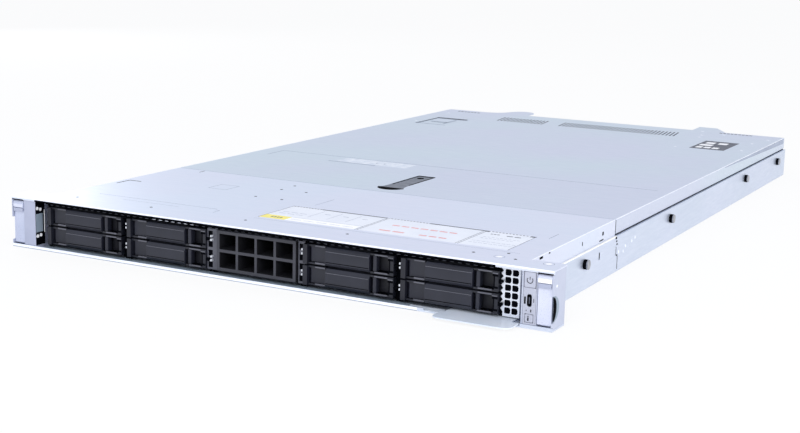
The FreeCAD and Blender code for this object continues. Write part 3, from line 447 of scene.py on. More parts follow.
# The grey ink also gives the painted shade along the sunk edges of the cover's finger grip
greyInkAndShade = mouldedPlastic("greyInkAndShade", {**screenInk, "colours": ("#4B4F5C", "#565B69", "#666B79")})
paleInk = mouldedPlastic("paleInk", {**screenInk, "colours": ("#9CA3B4", "#A9AFC0", "#B9BFCD")})
redInk = mouldedPlastic("paleRedInk", {**screenInk, "colours": ("#D98F92", "#E0A2A2", "#E8BBBA")})
# The yellow field is laid on thicker: more even, with a faint gloss
yellowInk = mouldedPlastic("yellowInk", {
    "colours": ("#F1E268", "#F4E87E", "#E7D65A"),
    "cloud": 8.0, "grain": 0.8, "speckTone": 0.3,
    "roughness": (0.42, 0.55), "relief": 0.08, "ior": 1.5,
})
# White paper and white printed fields, and painted highlights on small parts that catch the light: bright,
# soft, nearly without gloss
whitePrintAndHighlight = mouldedPlastic("whitePrintAndHighlight", {
    "colours": ("#F6F7FB", "#FAFAFC", "#ECEEF4"),
    "cloud": 8.0, "grain": 0.8, "speckTone": 0.2,
    "roughness": (0.40, 0.55), "relief": 0.06, "ior": 1.5,
})
# Zinc sheet scribed or creased: the line turns from the light and looks a shade darker
scribedZinc = mouldedPlastic("scribedZinc", {
    "colours": ("#929DB0", "#9CA7BA", "#848FA3"),
    "cloud": 10.0, "grain": 0.8, "speckTone": 0.4,
    "roughness": (0.4, 0.55), "relief": 0.1, "ior": 1.5, "metallic": 0.4,
})
# Painted highlight along folded edges and hems where they catch the light, also used for the rivets and wall
# plugs: nearly white
brightEdge = mouldedPlastic("brightFold", {
    "colours": ("#F4F7FE", "#EDF2FC", "#FAFBFF"),
    "cloud": 10.0, "grain": 0.8, "speckTone": 0.1,
    "roughness": (0.24, 0.34), "relief": 0.04, "ior": 1.5,
})
# Painted highlight on the lacquered ledge and pull where they catch the light: nearly white with a warm cast
creamHighlight = mouldedPlastic("creamFold", {
    "colours": ("#FBF8F0", "#F5F4EE", "#FFFDF8"),
    "cloud": 10.0, "grain": 0.8, "speckTone": 0.1,
    "roughness": (0.3, 0.4), "relief": 0.04, "ior": 1.5,
})
# Clear polyester film over the zinc: unevenly glossy, so that it looks streaked
dullFilm = mouldedPlastic("dullPolyesterFilm", {
    "colours": ("#C9D3E2", "#E2E8F1", "#B4BFD1"),
    "cloud": 5.0, "grain": 0.9, "speckTone": 0.3,
    "roughness": (0.32, 0.46), "relief": 0.05, "ior": 1.5,
})
# Zinc flange that folds in towards the rear: the same sheet in half shade
shadedFold = mouldedPlastic("shadedFold", {
    "colours": ("#A3ADC0", "#97A1B5", "#B2BBCC"),
    "cloud": 40.0, "grain": 0.9, "speckTone": 0.1,
    "roughness": (0.34, 0.46), "relief": 0.05, "ior": 1.5,
})
# Milky polycarbonate of the light pipes: pale and smooth, with a clear gloss
clearPipe = mouldedPlastic("milkyPolycarbonate", {
    "colours": ("#D3D6DC", "#C6CAD1", "#DFE1E6"),
    "cloud": 4.0, "grain": 0.6, "speckTone": 0.3,
    "roughness": (0.2, 0.3), "relief": 0.05, "ior": 1.58,
})
# Grey nylon of the clips, and the painted highlights on the carriers' flanges and grips: moulded matt, paler
# than the carriers round it
nylonClipAndHighlight = mouldedPlastic("greyClipNylonAndHighlight", {
    "colours": ("#5C5D66", "#54555E", "#6E6F78"),
    "cloud": 12.0, "grain": 0.7, "speckTone": 0.3,
    "roughness": (0.45, 0.6), "relief": 0.25, "ior": 1.53,
})
# Grey vinyl of the ear's sticker, also the painted shade on the rim of the finger cut: smooth, slightly blue
greyStickerAndShade = mouldedPlastic("greyVinylAndPaintedShade", {
    "colours": ("#8C9AA8", "#8492A0", "#A0ACB8"),
    "cloud": 12.0, "grain": 0.8, "speckTone": 0.2,
    "roughness": (0.35, 0.5), "relief": 0.05, "ior": 1.5,
})
print("materials made")


# Modelling helpers. Places are millimetres across from the middle, in depth from the front face of
# the ears, and in height from the ground.

def only(piece):
    deselectAll()
    piece.select_set(True)
    bpy.context.view_layer.objects.active = piece


def pick(piece, kind, chosen):
    # Selects the corners, edges or faces that pass a test and stays in edit mode
    only(piece)
    bpy.ops.object.mode_set(mode="EDIT")
    bpy.ops.mesh.select_mode(type=kind)
    bpy.ops.mesh.select_all(action="DESELECT")
    bpy.ops.object.mode_set(mode="OBJECT")
    mesh = piece.data
    for item in {"VERT": mesh.vertices, "EDGE": mesh.edges, "FACE": mesh.polygons}[kind]:
        item.select = chosen(item)
    bpy.ops.object.mode_set(mode="EDIT")


def pickAll(piece):
    only(piece)
    bpy.ops.object.mode_set(mode="EDIT")
    bpy.ops.mesh.select_all(action="SELECT")


def settle(piece, place=None):
    # Leaves a piece at the origin, unturned and unscaled, with its place in its mesh
    only(piece)
    if place is not None:
        piece.location = place
    bpy.ops.object.transform_apply(location=True, rotation=True, scale=True)


def block(name, across, deep, rise):
    # A box, the start of a piece: each pair is where it starts and ends
    deselectAll()
    a, b = [at(*corner) for corner in zip(across, deep, rise)]
    bpy.ops.mesh.primitive_cube_add(size=1, location=[(p + q) / 2 for p, q in zip(a, b)])
    piece = bpy.context.object
    piece.name = name
    piece.scale = [q - p for p, q in zip(a, b)]
    settle(piece)
    return piece


def disc(name, centre, radius, depth, axis, corners=20):
    # A short round post along one axis, the start of a piece
    deselectAll()
    turn = {"x": (0, math.pi / 2, 0), "y": (math.pi / 2, 0, 0), "z": (0, 0, 0)}[axis]
    bpy.ops.mesh.primitive_cylinder_add(vertices=corners, radius=radius / 1000, depth=depth / 1000,
                                        location=at(*centre), rotation=turn)
    piece = bpy.context.object
    piece.name = name
    settle(piece)
    return piece


def hoop(centre, radius, wire, axis, around, across):
    # A thin ring about one axis
    deselectAll()
    turn = {"y": (math.pi / 2, 0, 0), "z": (0, 0, 0)}[axis]
    bpy.ops.mesh.primitive_torus_add(major_radius=radius / 1000, minor_radius=wire / 1000,
                                     major_segments=around, minor_segments=across,
                                     location=at(*centre), rotation=turn)
    piece = bpy.context.object
    settle(piece)
    return piece


def roundEdges(piece, width, axis=None, segments=2):
    # Bevels every edge, or only those that run along one axis
    def chosen(edge):
        a, b = [piece.data.vertices[k].co for k in edge.vertices]
        return axis is None or abs((b - a).normalized()["xyz".index(axis)]) > 0.99

    pick(piece, "EDGE", chosen)
    bpy.ops.mesh.bevel(offset=width / 1000, segments=segments, affect="EDGES")
    bpy.ops.object.mode_set(mode="OBJECT")


def slab(name, across, deep, rise, edge=0.1, segments=1):
    # A box with all its edges rounded
    piece = block(name, across, deep, rise)
    roundEdges(piece, edge, None, segments)
    return piece


def puck(name, centre, radius, depth, axis, corners, edge, segments=2):
    # A short post with both rims rounded
    piece = disc(name, centre, radius, depth, axis, corners)
    roundEdges(piece, edge, None, segments)
    return piece


def sinkFace(piece, axis, sign, border, depth):
    # Insets the face that looks one way and pushes it in
    pick(piece, "FACE", lambda face: face.normal["xyz".index(axis)] * sign > 0.99)
    bpy.ops.mesh.inset(thickness=border / 1000, depth=-depth / 1000)
    bpy.ops.object.mode_set(mode="OBJECT")


def shift(piece, chosen, way):
    # Moves the corners that are picked by a step in millimetres
    pick(piece, "VERT", lambda corner: chosen(corner.co))
    bpy.ops.transform.translate(value=[v / 1000 for v in way])
    bpy.ops.object.mode_set(mode="OBJECT")


def halve(piece, place, axis, keepFar):
    # Cuts a piece by a plane across one axis, drops the near or the far half and closes the cut
    pickAll(piece)
    bpy.ops.mesh.bisect(plane_co=at(*place), plane_no=[float(a == axis) for a in "xyz"], use_fill=True,
                        clear_inner=keepFar, clear_outer=not keepFar)
    bpy.ops.object.mode_set(mode="OBJECT")


def repeat(piece, count, step):
    # Repeats a piece along a step in millimetres
    if count < 2:
        return
    only(piece)
    array = piece.modifiers.new("repeat", "ARRAY")
    array.count = count
    array.use_relative_offset = False
    array.use_constant_offset = True
    array.constant_offset_displace = [v / 1000 for v in step]
    bpy.ops.object.modifier_apply(modifier=array.name)


def merge(name, pieces):
    only(pieces[0])
    for piece in pieces[1:]:
        piece.select_set(True)
    if len(pieces) > 1:
        bpy.ops.object.join()
    pieces[0].name = name
    return pieces[0]


def smooth(piece):
    # Smooth shading over the rounded edges, with large faces kept flat beside them
    bpy.ops.object.shade_smooth_by_angle(angle=math.radians(36))
    flat = piece.modifiers.new("flatFaces", "WEIGHTED_NORMAL")
    flat.keep_sharp = True
    bpy.ops.object.modifier_apply(modifier=flat.name)


def dress(piece, body, material, slotName):
    # Gives a piece its finish and lets it move with its body
    piece.data.name = piece.name
    piece.data.materials.clear()
    piece.data.materials.append(material)
    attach(piece, body)


def done(piece, body, material, slotName="zinc_steel"):
    # The last step of each new piece
    pickAll(piece)
    bpy.ops.mesh.normals_make_consistent(inside=False)
    bpy.ops.object.mode_set(mode="OBJECT")
    smooth(piece)
    dress(piece, body, material, slotName)
    return piece


def bars(name, body, material, low, high, rows, edge=0.03, slotName="zinc_steel"):
    # Flat bars lying on the top. Each row is a corner, a width and a depth, and it may add
    # how often the bar repeats and at what step.
    made = []
    for x, y, width, depth, *again in rows:
        count, pitch = again or (1, 0.0)
        bar = slab(name, (x, x + width), (y, y + depth), (top + low, top + high), edge)
        repeat(bar, count, (pitch, 0.0, 0.0))
        made.append(bar)
    return done(merge(name, made), body, material, slotName)


def spread(side, span):
    # Where a piece on one side of the part starts and ends across
    return sorted(sides[side] * place for place in span)


def along(start, span):
    # A span measured from a start
    return [start + place for place in span]


def around(middle, half):
    # A span on both sides of its middle
    return (middle - half, middle + half)


print("helpers ready")


# The CAD nodes that keep their shape
bareNodes = {
    "backplane": greenBoard, "motherboard": greenBoard, "memory_modules": greenBoard,
    "fan_modules": pbtBlackAndShade, "heat_sinks": aluminiumSink,
    **{f"fan_rotor_{k}": pbtBlackAndShade for k in range(1, rotorCount + 1)},
}
for node, material in bareNodes.items():
    for slot in nodes[node].material_slots:
        slot.material = material


# Rounded copies of the nodes that show, so that their edges catch the light

def ownCopy(source, name):
    # A copy of an object with its own mesh, free of any parent
    piece = source.copy()
    piece.data = source.data.copy()
    piece.name = name
    piece.data.name = name
    piece.parent = None
    piece.matrix_world.identity()
    bpy.context.collection.objects.link(piece)
    return piece


def roundedCopy(node, body, width, material, slotName, name):
    piece = ownCopy(nodes[node], name)
    only(piece)
    bpy.ops.object.mode_set(mode="EDIT")
    bpy.ops.mesh.select_mode(type="VERT")
    bpy.ops.mesh.select_all(action="SELECT")
    bpy.ops.mesh.remove_doubles(threshold=0.000004)
    bpy.ops.mesh.customdata_custom_splitnormals_clear()
    bpy.ops.mesh.select_all(action="SELECT")
    bpy.ops.mesh.dissolve_limited(angle_limit=math.radians(1.0))
    bpy.ops.object.mode_set(mode="OBJECT")
    if width:
        bevel = piece.modifiers.new("roundedEdges", "BEVEL")
        bevel.width = width / 1000
        bevel.segments = 2
        bevel.limit_method = "ANGLE"
        bevel.angle_limit = math.radians(38)
        bevel.use_clamp_overlap = True
        bpy.ops.object.modifier_apply(modifier=bevel.name)
    smooth(piece)
    dress(piece, body, material, slotName)
    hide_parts(node)
    return piece


def paintFaces(piece, material, chosen):
    # Gives a second finish to the faces picked by their middle and normal
    piece.data.materials.append(material)
    number = len(piece.data.materials) - 1
    for face in piece.data.polygons:
        if chosen(face.center, face.normal):
            face.material_index = number


def copyToBays(first, node, body, stem, slotName=None):
    # Copies a piece of the first drive carrier to the others; with no slot it replaces the node
    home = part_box(f"{node}_1")[0]
    for k in range(2, carrierCount + 1):
        twin = ownCopy(first, f"{stem}{k}")
        settle(twin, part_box(f"{node}_{k}")[0] - home)
        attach(twin, f"{body}_{k}")
        if slotName:
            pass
        else:
            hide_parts(f"{node}_{k}")


roundedCopy("chassis_base", "root", 0.35, zincTray, "zinc_steel", "trayFolded")
roundedCopy("front_top_panel", "root", 0.4, zincPanel, "zinc_steel", "frontPanelFolded")
roundedCopy("system_cover", "cover", 0.35, zincCover, "zinc_steel", "coverFolded")
roundedCopy("cover_latch_base", "cover", 0.3, pbtBlackAndShade, "black_plastic", "latchTray")
lever = roundedCopy("cover_latch_lever", "cover_latch", 0.3, nylonLatch, "latch_grey", "latchLever")
# Painted shade: the lever's front faces are painted black
paintFaces(lever, blackAndShade, lambda p, n: n.y < -0.35)  # its front end looks into the dark
# Painted shade: the cage is dark grey, and black where it faces the front
cage = roundedCopy("drive_cage", "root", 0, zincCage, "zinc_steel", "driveCageFolded")
cageShade = at(0, 14.0)[1]
paintFaces(cage, blackAndShade, lambda p, n: p.y < cageShade)
roundedCopy("left_ear", "root", 0.3, shadedEar, "silver_paint", "leftEarCast")
roundedCopy("right_ear", "root", 0.3, lacquerEar, "silver_paint", "rightEarCast")
roundedCopy("left_ear_latch", "left_latch", 0.35, shadedLatch, "silver_paint", "leftEarLatch")
roundedCopy("right_ear_latch", "right_latch", 0.35, lacquerLatchAndGlint, "silver_paint", "rightEarLatch")
roundedCopy("control_panel", "root", 0.3, absPanel, "panel_grey", "controlPanelMoulding")
roundedCopy("power_button", "power_button", 0.3, absPanel, "panel_grey", "powerButtonCap")
roundedCopy("info_button", "info_button", 0.25, absPanel, "panel_grey", "infoButtonCap")
roundedCopy("vent_strip", "root", 0.1, nickelStripAndHighlight, "zinc_steel", "ventStripPunched")
roundedCopy("info_tag", "tag", 0.2, clearTag, "tag_plastic", "pullTag")
blank = roundedCopy("bay_blank", "root", 0.3, nylonBlank, "black_plastic", "bayBlankMoulding")
blankLow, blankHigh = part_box("bay_blank")
cellFront = blankLow.y + 0.0012
# Painted shade: the walls of the blank's deep cells are black
paintFaces(blank, pbtBlackAndShade, lambda p, n: p.y > cellFront and abs(n.y) < 0.5
           and blankLow.z + 0.001 < p.z < blankHigh.z - 0.001)
roundedCopy("rear_panel", "root", 0.15, zincTray, "zinc_steel", "rearWallPunched")
roundedCopy("slot_brackets", "root", 0.12, zincCover, "zinc_steel", "slotBracketsPunched")
roundedCopy("rear_ports", "root", 0.2, nickelShell, "port_shell", "rearConnectors")
roundedCopy("shoulder_studs", "root", 0.25, steelStud, "stud_steel", "railStuds")
for k in (1, 2):
    roundedCopy(f"psu_{k}", f"psu_{k}", 0.35, nickelCase, "psu_case", f"powerSupply{k}")
    roundedCopy(f"psu_{k}_latch", f"psu_{k}_latch", 0.35, nylonRelease, "psu_latch", f"powerSupplyRelease{k}")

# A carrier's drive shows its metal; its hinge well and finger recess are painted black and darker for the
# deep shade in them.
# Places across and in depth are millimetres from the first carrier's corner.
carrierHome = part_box("drive_carrier_1")[0]
shadeEnd = 11.0


def inDrive(x, y, n):
    return 2.85 < x < 73.15 and y > 6.5


def inHollow(x, y, n):
    well = 3.9 < x < 9.4 and y > 0.5
    recess = 57.1 < x < 72.6 and y > 1.2 and (x < 62.5 or abs(n.z) > 0.5)
    return (well or recess or x > 76.05) and y < shadeEnd


def inScoop(x, y, n):
    return 62.5 < x < 72.6 and 1.2 < y < shadeEnd and abs(n.z) < 0.5


carrier = roundedCopy("drive_carrier_1", "carrier_1", 0.22, absCarrier, "drive_metal", "driveCarrier1")
for material, chosen in ((nickelCase, inDrive), (blackAndShade, inHollow), (absShade, inScoop)):
    paintFaces(carrier, material,
               lambda p, n: chosen((p.x - carrierHome.x) * 1000, (p.y - carrierHome.y) * 1000, n))
copyToBays(carrier, "drive_carrier", "carrier", "driveCarrier")
grip = roundedCopy("carrier_handle_1", "handle_1", 0.35, absHandle, "handle_black", "carrierHandle1")
copyToBays(grip, "carrier_handle", "handle", "carrierHandle")
release = roundedCopy("carrier_button_1", "button_1", 0.25, absHandle, "handle_black", "releaseButton1")
copyToBays(release, "carrier_button", "button", "releaseButton")
print("rounded copies made")


# Service label on the front panel, with bars in place of its words

label = {
    "corner": (-25.0, 41.5), "size": (213.6, 53.5), "thickness": 0.10, "round": 1.5, "edge": 0.03,
    "dividers": (62.0, 146.2), "lineWidth": 0.45, "lineGap": 1.9, "ink": (-0.02, 0.05),
}
lx, ly = label["corner"]
lw, ld = label["size"]
thick = label["thickness"]
film = block("serviceLabel", (lx, lx + lw), (ly, ly + ld), (top, top + thick))
roundEdges(film, label["round"], "z", 4)
roundEdges(film, label["edge"], "x", 1)
done(film, "root", labelPolyester)

inkLow, inkHigh = along(thick, label["ink"])
line = label["lineWidth"]
bars("labelLines", "root", greyInkAndShade, inkLow, inkHigh, (
    (lx, ly, line, ld),
    (lx + lw - line, ly, line, ld),
    (label["dividers"][0], ly, line, ld, 2, label["lineGap"]),
    (label["dividers"][1], ly, line, ld, 2, label["lineGap"]),
    (2.5, 92.8, 59.5, 2.2),
    (100.0, 92.8, 46.0, 2.2),
    (147.0, 91.6, 4.0, 3.2),
    (184.0, 91.4, 4.2, 3.4),
    (-24.0, 93.2, 1.7, 1.6, 10, 2.7),
    (65.5, 93.2, 1.7, 1.4, 16, 2.8),
    (152.5, 93.2, 1.7, 1.4, 11, 2.8),
    (155.0, 84.6, 2.0, 1.6, 3, 2.7),
    (168.5, 83.8, 5.0, 1.9, 2, 6.4),
))
bars("labelFinePrint", "root", paleInk, inkLow, inkHigh, (
    (-1.0, 54.4, 63.0, 0.4),
    (8.0, 62.0, 0.4, 26.0, 3, 17.0),
    (14.0, 78.0, 5.0, 1.0, 3, 17.0),
    (-20.0, 70.0, 6.0, 0.8, 3, 8.0),
    (-20.0, 64.0, 6.0, 0.8, 3, 8.0),
    (2.0, 47.0, 9.0, 0.7, 5, 11.6),
    (154.0, 74.0, 2.4, 0.7, 9, 3.4),
    (154.0, 69.0, 2.4, 0.7, 8, 3.4),
    (152.0, 58.0, 3.0, 0.6, 9, 4.0),
    (152.0, 52.0, 3.0, 0.6, 9, 4.0),
))
bars("labelWhiteStrip", "root", whitePrintAndHighlight, thick - 0.04, thick + 0.02, ((-1.0, 42.2, 62.0, 11.6),))
bars("labelRedRows", "root", redInk, inkLow, inkHigh, (
    (78.5, 70.8, 6.2, 2.6, 7, 8.1),
    (78.0, 50.2, 9.4, 2.8, 2, 11.6),
    (112.0, 50.2, 6.2, 2.6, 3, 8.1),
))
bars("labelYellowBlock", "root", yellowInk, inkLow, inkHigh, ((-24.4, 42.0, 23.2, 12.2),))
bars("labelYellowMarks", "root", greyInkAndShade, inkHigh - 0.02, inkHigh + 0.03, ((-16.5, 46.4, 1.6, 3.4, 4, 2.7),))
print("service label laid")


# Creases and small marks in the front panel and the cover

bars("panelCreases", "root", scribedZinc, -0.06, 0.03, (
    (-188.0, 47.6, 120.0, 0.5),
    (-68.0, 44.0, 5.0, 0.5),
    (-63.4, 35.0, 0.5, 9.0),
    (-156.0, 38.3, 57.0, 0.35),
    (-131.0, 123.0, 18.5, 0.5),
    (-131.0, 143.5, 18.5, 0.5),
    (-131.0, 123.0, 0.5, 21.0),
    (-113.0, 123.0, 0.5, 21.0),
    (-13.0, 107.0, 0.5, 31.0),
    (197.8, 95.0, 0.6, 20.0),
    (-25.0, 36.0, 225.0, 0.3),
    (-214.0, 193.9, 428.0, 0.5),
), 0.02)
bars("coverCrease", "cover", scribedZinc, -0.06, 0.04, (
    (-195.0, 342.7, 397.0, 0.8), (-195.0, 313.0, 0.8, 30.0)), 0.02)
bars("panelMarks", "root", blackAndShade, -0.06, 0.05, (
    (-209.6, 96.0, 1.2, 18.0), (-208.4, 112.8, 12.0, 1.4), (-184.9, 184.0, 0.8, 8.0)), 0.02)

# Painted shade: black wells under the panel's holes, where they open onto the dark inside of the case
hole = {
    "radius": 1.25, "depth": 0.5, "drop": 0.22, "rim": 0.25, "sink": 0.1,
    "places": ((-192.0, 24.5), (-116.0, 24.5), (-25.0, 24.5), (66.0, 24.5), (170.5, 22.0), (193.0, 32.5),
               (204.5, 18.0), (-74.5, 112.5), (-48.5, 112.5), (-74.5, 152.5), (-49.5, 152.5), (-74.5, 174.0)),
}
wells = []
for x, y in hole["places"]:
    well = disc("panelHole", (x, y, top - hole["drop"]), hole["radius"], hole["depth"], "z", 12)
    sinkFace(well, "z", 1, hole["rim"], hole["sink"])
    wells.append(well)
done(merge("panelHoleWells", wells), "root", blackAndShade)

# Two pressed rings in the panel: a raised dome, painted white as a highlight, inside a grey groove
ring = {
    "centres": ((191.7, 19.3), (229.6, 17.6)), "radius": 3.9, "wire": 0.28, "sink": 0.2,
    "dome": {"radius": 2.3, "depth": 0.2, "sink": 0.05, "edge": 0.09},
}
grooves = []
domes = []
for x, y in ring["centres"]:
    grooves.append(hoop((x, y, top - ring["sink"]), ring["radius"], ring["wire"], "z", 40, 8))
    dome = ring["dome"]
    domes.append(puck("panelDome", (x, y, top - dome["sink"]), dome["radius"], dome["depth"], "z", 24,
                      dome["edge"]))
done(merge("panelRings", grooves), "root", scribedZinc)
done(merge("panelDomes", domes), "root", whitePrintAndHighlight)
print("creases, holes and marks made")


# Perforation of the cover: three rows of slanted slits, painted dark for the shade in the openings

slits = {
    "size": (1.9, 10.8), "slant": 1.3, "pitch": 4.4, "rows": (705.6, 717.2, 728.8),
    "groups": ((-119.0, 14), (-38.5, 33)), "rise": (-0.05, 0.03), "round": 0.5,
}
rows = []
for first, count in slits["groups"]:
    for k, y in enumerate(slits["rows"]):
        width, depth = slits["size"]
        start = first - k * slits["slant"]
        slit = block("slit", (start, start + width), (y, y + depth), along(top, slits["rise"]))
        middle = at(0, y + depth / 2)[1]
        shift(slit, lambda corner: corner.y > middle, (-slits["slant"], 0, 0))
        roundEdges(slit, slits["round"], "z", 2)
        repeat(slit, count, (slits["pitch"], 0, 0))
        rows.append(slit)
done(merge("coverSlits", rows), "cover", blackSlot)

# Printed field at the right rear, with plain blocks in it
px, py = 146.0, 626.0
bars("rearPrintGround", "cover", greyInkAndShade, -0.05, 0.05, ((px, py, 38.0, 66.0),))
bars("rearPrintFigures", "cover", whitePrintAndHighlight, 0.03, 0.08, (
    (px + 4.0, py + 8.0, 7.0, 10.0, 3, 9.0),
    (px + 3.0, py + 26.0, 14.0, 12.0),
    (px + 5.0, py + 44.0, 10.0, 12.0, 2, 14.0),
))

# Finger grip at the left rear, sunk between dark edges painted as the shade in the recess, and the print
# beside the rear corners
bars("gripEdges", "cover", greyInkAndShade, -0.06, 0.04, (
    (-189.6, 626.0, 1.3, 62.0), (-189.6, 684.6, 40.0, 4.2)))
bars("gripLip", "cover", scribedZinc, -0.06, 0.04, (
    (-188.0, 625.4, 37.0, 1.8), (-181.0, 650.0, 22.0, 2.2), (-160.0, 640.0, 1.0, 36.0)), 0.02)
bars("rearDashes", "cover", greyInkAndShade, -0.05, 0.04, (
    (-197.0, 757.0, 3.2, 4.2, 7, 4.5), (141.0, 764.0, 3.2, 4.2, 9, 4.4)))

# A strip of film on the cover, behind its latch and to the left, with a little print
bars("coverStrip", "cover", dullFilm, -0.05, 0.05, ((-116.0, 316.5, 76.0, 23.0),))
bars("coverStripPrint", "cover", scribedZinc, 0.03, 0.07, (
    (-124.0, 313.6, 52.0, 1.4), (-78.0, 326.0, 1.8, 3.4, 2, 8.6)))

# Rivets of the rear corners, nearly white
rivet = {
    "radius": 1.5, "depth": 0.24, "lift": 0.04, "edge": 0.08,
    "places": ((120.0, 768.0), (129.0, 734.0), (131.0, 716.0), (131.0, 625.0), (196.0, 700.0),
               (200.0, 640.0), (204.0, 740.0), (150.0, 752.0), (-199.0, 735.0), (-196.0, 640.0)),
}
rivets = [puck("rivet", (x, y, top + rivet["lift"]), rivet["radius"], rivet["depth"], "z", 14, rivet["edge"])
          for x, y in rivet["places"]]
done(merge("coverRivets", rivets), "cover", brightEdge)
print("cover perforation, print and rivets made")


# Cover latch: painted shade as a black half moon under its tip and in the dark gap round it, and its socket

moon = {"x": -1.5, "y": 218.4, "drop": 0.12, "radius": 12.8, "depth": 0.36, "cut": 217.4, "edge": 0.1}
halfMoon = disc("latchMoon", (moon["x"], moon["y"], top - moon["drop"]), moon["radius"], moon["depth"],
                "z", 40)
halve(halfMoon, (moon["x"], moon["cut"], top), "y", False)
roundEdges(halfMoon, moon["edge"], None, 1)
done(halfMoon, "cover_latch", blackAndShade, "latch_grey")
bars("latchGap", "cover", blackAndShade, -0.35, 0.03, (
    (-10.2, 236.0, 0.9, 51.0), (6.2, 236.0, 0.9, 51.0), (-10.2, 286.0, 17.3, 1.9)), 0.02, "latch_grey")
socket = {"x": -2.4, "y": 276.0, "drop": 0.25, "radius": 3.2, "depth": 0.3, "rim": 0.7, "sink": 0.18}
cup = disc("latchSocket", (socket["x"], socket["y"], top - socket["drop"]), socket["radius"], socket["depth"],
           "z", 24)
sinkFace(cup, "z", 1, socket["rim"], socket["sink"])
done(cup, "cover_latch", blackAndShade, "latch_grey")
print("cover latch dressed")


# Side walls: painted shade in the dark gap under the cover's edge, and painted highlights along the folded
# edges of the panel and the cover and on the ledge below them, where they catch the light

sideStrips = {
    "GapShade": {"across": (213.7, 214.7), "deep": (197.0, 772.0), "rise": (29.62, 30.45),
                 "edge": 0.15, "segments": 1, "body": "root", "finish": blackAndShade},
    "PanelLine": {"across": (214.3, 215.1), "deep": (22.5, 194.0), "rise": (top - 0.5, top + 0.04),
                  "edge": 0.2, "segments": 2, "body": "root", "finish": brightEdge},
    "CoverLine": {"across": (214.3, 215.1), "deep": (196.0, 770.0), "rise": (top - 0.5, top + 0.04),
                  "edge": 0.2, "segments": 2, "body": "cover", "finish": brightEdge},
    "LedgeLine": {"across": (215.2, 217.05), "deep": (22.5, 194.0), "rise": (28.6, 29.62),
                  "edge": 0.25, "segments": 2, "body": "root", "finish": creamHighlight},
}
for side in sides:
    for part, look in sideStrips.items():
        strip = slab(f"{side}{part}", spread(side, look["across"]), look["deep"], look["rise"],
                     look["edge"], look["segments"])
        done(strip, look["body"], look["finish"])

# The cover's flange falls into half shade towards the rear, where the shade starts as a point
rearFold = {"across": (214.9, 215.06), "deep": (520.0, 770.0), "rise": (36.4, 42.2), "taper": 5.0}
for side in sides:
    fold = block(f"{side}RearFold", spread(side, rearFold["across"]), rearFold["deep"], rearFold["rise"])
    midY, midZ = at(0, sum(rearFold["deep"]) / 2)[1], sum(rearFold["rise"]) / 2000
    shift(fold, lambda corner: corner.y < midY and corner.z < midZ, (0, 0, rearFold["taper"]))
    done(fold, "cover", shadedFold)

# Dark marks of the side walls: centre along the depth, centre height, length and height
wallMarks = {
    "flange": {"x": 215.06, "spots": (
        (195.2, 36.6, 0.9, 11.6), (166.0, 36.4, 3.0, 2.6), (163.0, 31.4, 9.0, 1.0),
        (121.0, 36.2, 1.2, 3.0), (39.5, 41.0, 6.0, 1.7), (54.8, 41.8, 2.6, 1.2))},
    "wall": {"x": 217.06, "spots": (
        (154.5, 20.8, 1.5, 4.4), (192.6, 28.2, 3.2, 1.9), (194.0, 25.4, 2.6, 1.3),
        (195.0, 22.8, 2.4, 1.3), (193.2, 17.4, 0.8, 7.0), (195.6, 13.6, 2.8, 1.3), (197.2, 7.4, 0.8, 11.0))},
}
wallPlugs = {"x": 217.05, "radius": 1.3, "depth": 0.2, "edge": 0.08,
             "places": ((200.0, 15.6), (211.0, 14.0), (216.0, 17.6), (232.0, 19.0), (240.0, 20.6))}
for side, sign in sides.items():
    spots = [slab("spot", spread(side, (area["x"] - 0.1, area["x"] + 0.05)), around(y, length / 2),
                  around(z, height / 2), 0.05)
             for area in wallMarks.values() for y, z, length, height in area["spots"]]
    done(merge(f"{side}WallMarks", spots), "root", blackAndShade)
    plugs = [puck("plug", (sign * wallPlugs["x"], y, z), wallPlugs["radius"], wallPlugs["depth"], "x", 16,
                  wallPlugs["edge"], 1) for y, z in wallPlugs["places"]]
    done(merge(f"{side}WallPlugs", plugs), "root", brightEdge)

# Painted shade on the rail studs: black rings between the walls and the studs' heads
neckShade = {
    "wall": 217.0, "radius": 3.9, "length": 2.95, "height": 20.5, "edge": 0.3,
    "places": (122.0, 336.0, 594.5, 733.5),
}
neckShades = [puck("neckShade", (sign * (neckShade["wall"] + neckShade["length"] / 2), y, neckShade["height"]),
                neckShade["radius"], neckShade["length"], "x", 24, neckShade["edge"])
           for sign in sides.values() for y in neckShade["places"]]
done(merge("studNeckShade", neckShades), "root", blackAndShade, "stud_steel")
print("side walls dressed")


# Left ear: inner face painted black as shade, a plain sticker, four screw heads painted white as highlights,
# and a painted highlight on the cage's edge behind it

earFace = -216.6
earLayers = {
    "earInnerShade": {"out": (0.0, 0.3), "deep": (1.0, 11.6), "rise": (3.2, 39.4),
                      "finish": blackAndShade, "slot": "silver_paint"},
    "earSticker": {"out": (0.25, 0.5), "deep": (1.2, 9.2), "rise": (14.0, 29.3),
                   "finish": greyStickerAndShade, "slot": "silver_paint"},
    "cageEdgeHighlight": {"out": (0.3, 0.9), "deep": (10.6, 11.3), "rise": (13.0, 32.0),
                      "finish": whitePrintAndHighlight, "slot": "zinc_steel"},
}
for name, look in earLayers.items():
    layer = slab(name, along(earFace, look["out"]), look["deep"], look["rise"])
    done(layer, "root", look["finish"], look["slot"])
earScrew = {"out": 0.45, "radius": 1.4, "depth": 0.5, "rim": 0.45, "sink": 0.15,
            "places": ((2.6, 34.0), (6.2, 32.8), (2.6, 10.8), (6.4, 11.2))}
heads = []
for y, z in earScrew["places"]:
    head = disc("earScrew", (earFace + earScrew["out"], y, z), earScrew["radius"], earScrew["depth"], "x", 16)
    sinkFace(head, "x", 1, earScrew["rim"], earScrew["sink"])
    heads.append(head)
done(merge("earScrews", heads), "root", whitePrintAndHighlight, "silver_paint")
print("left ear dressed")


# Right ear: painted shade in the finger cut, grey on its rim and black in its hollow, and a white dot above
# it

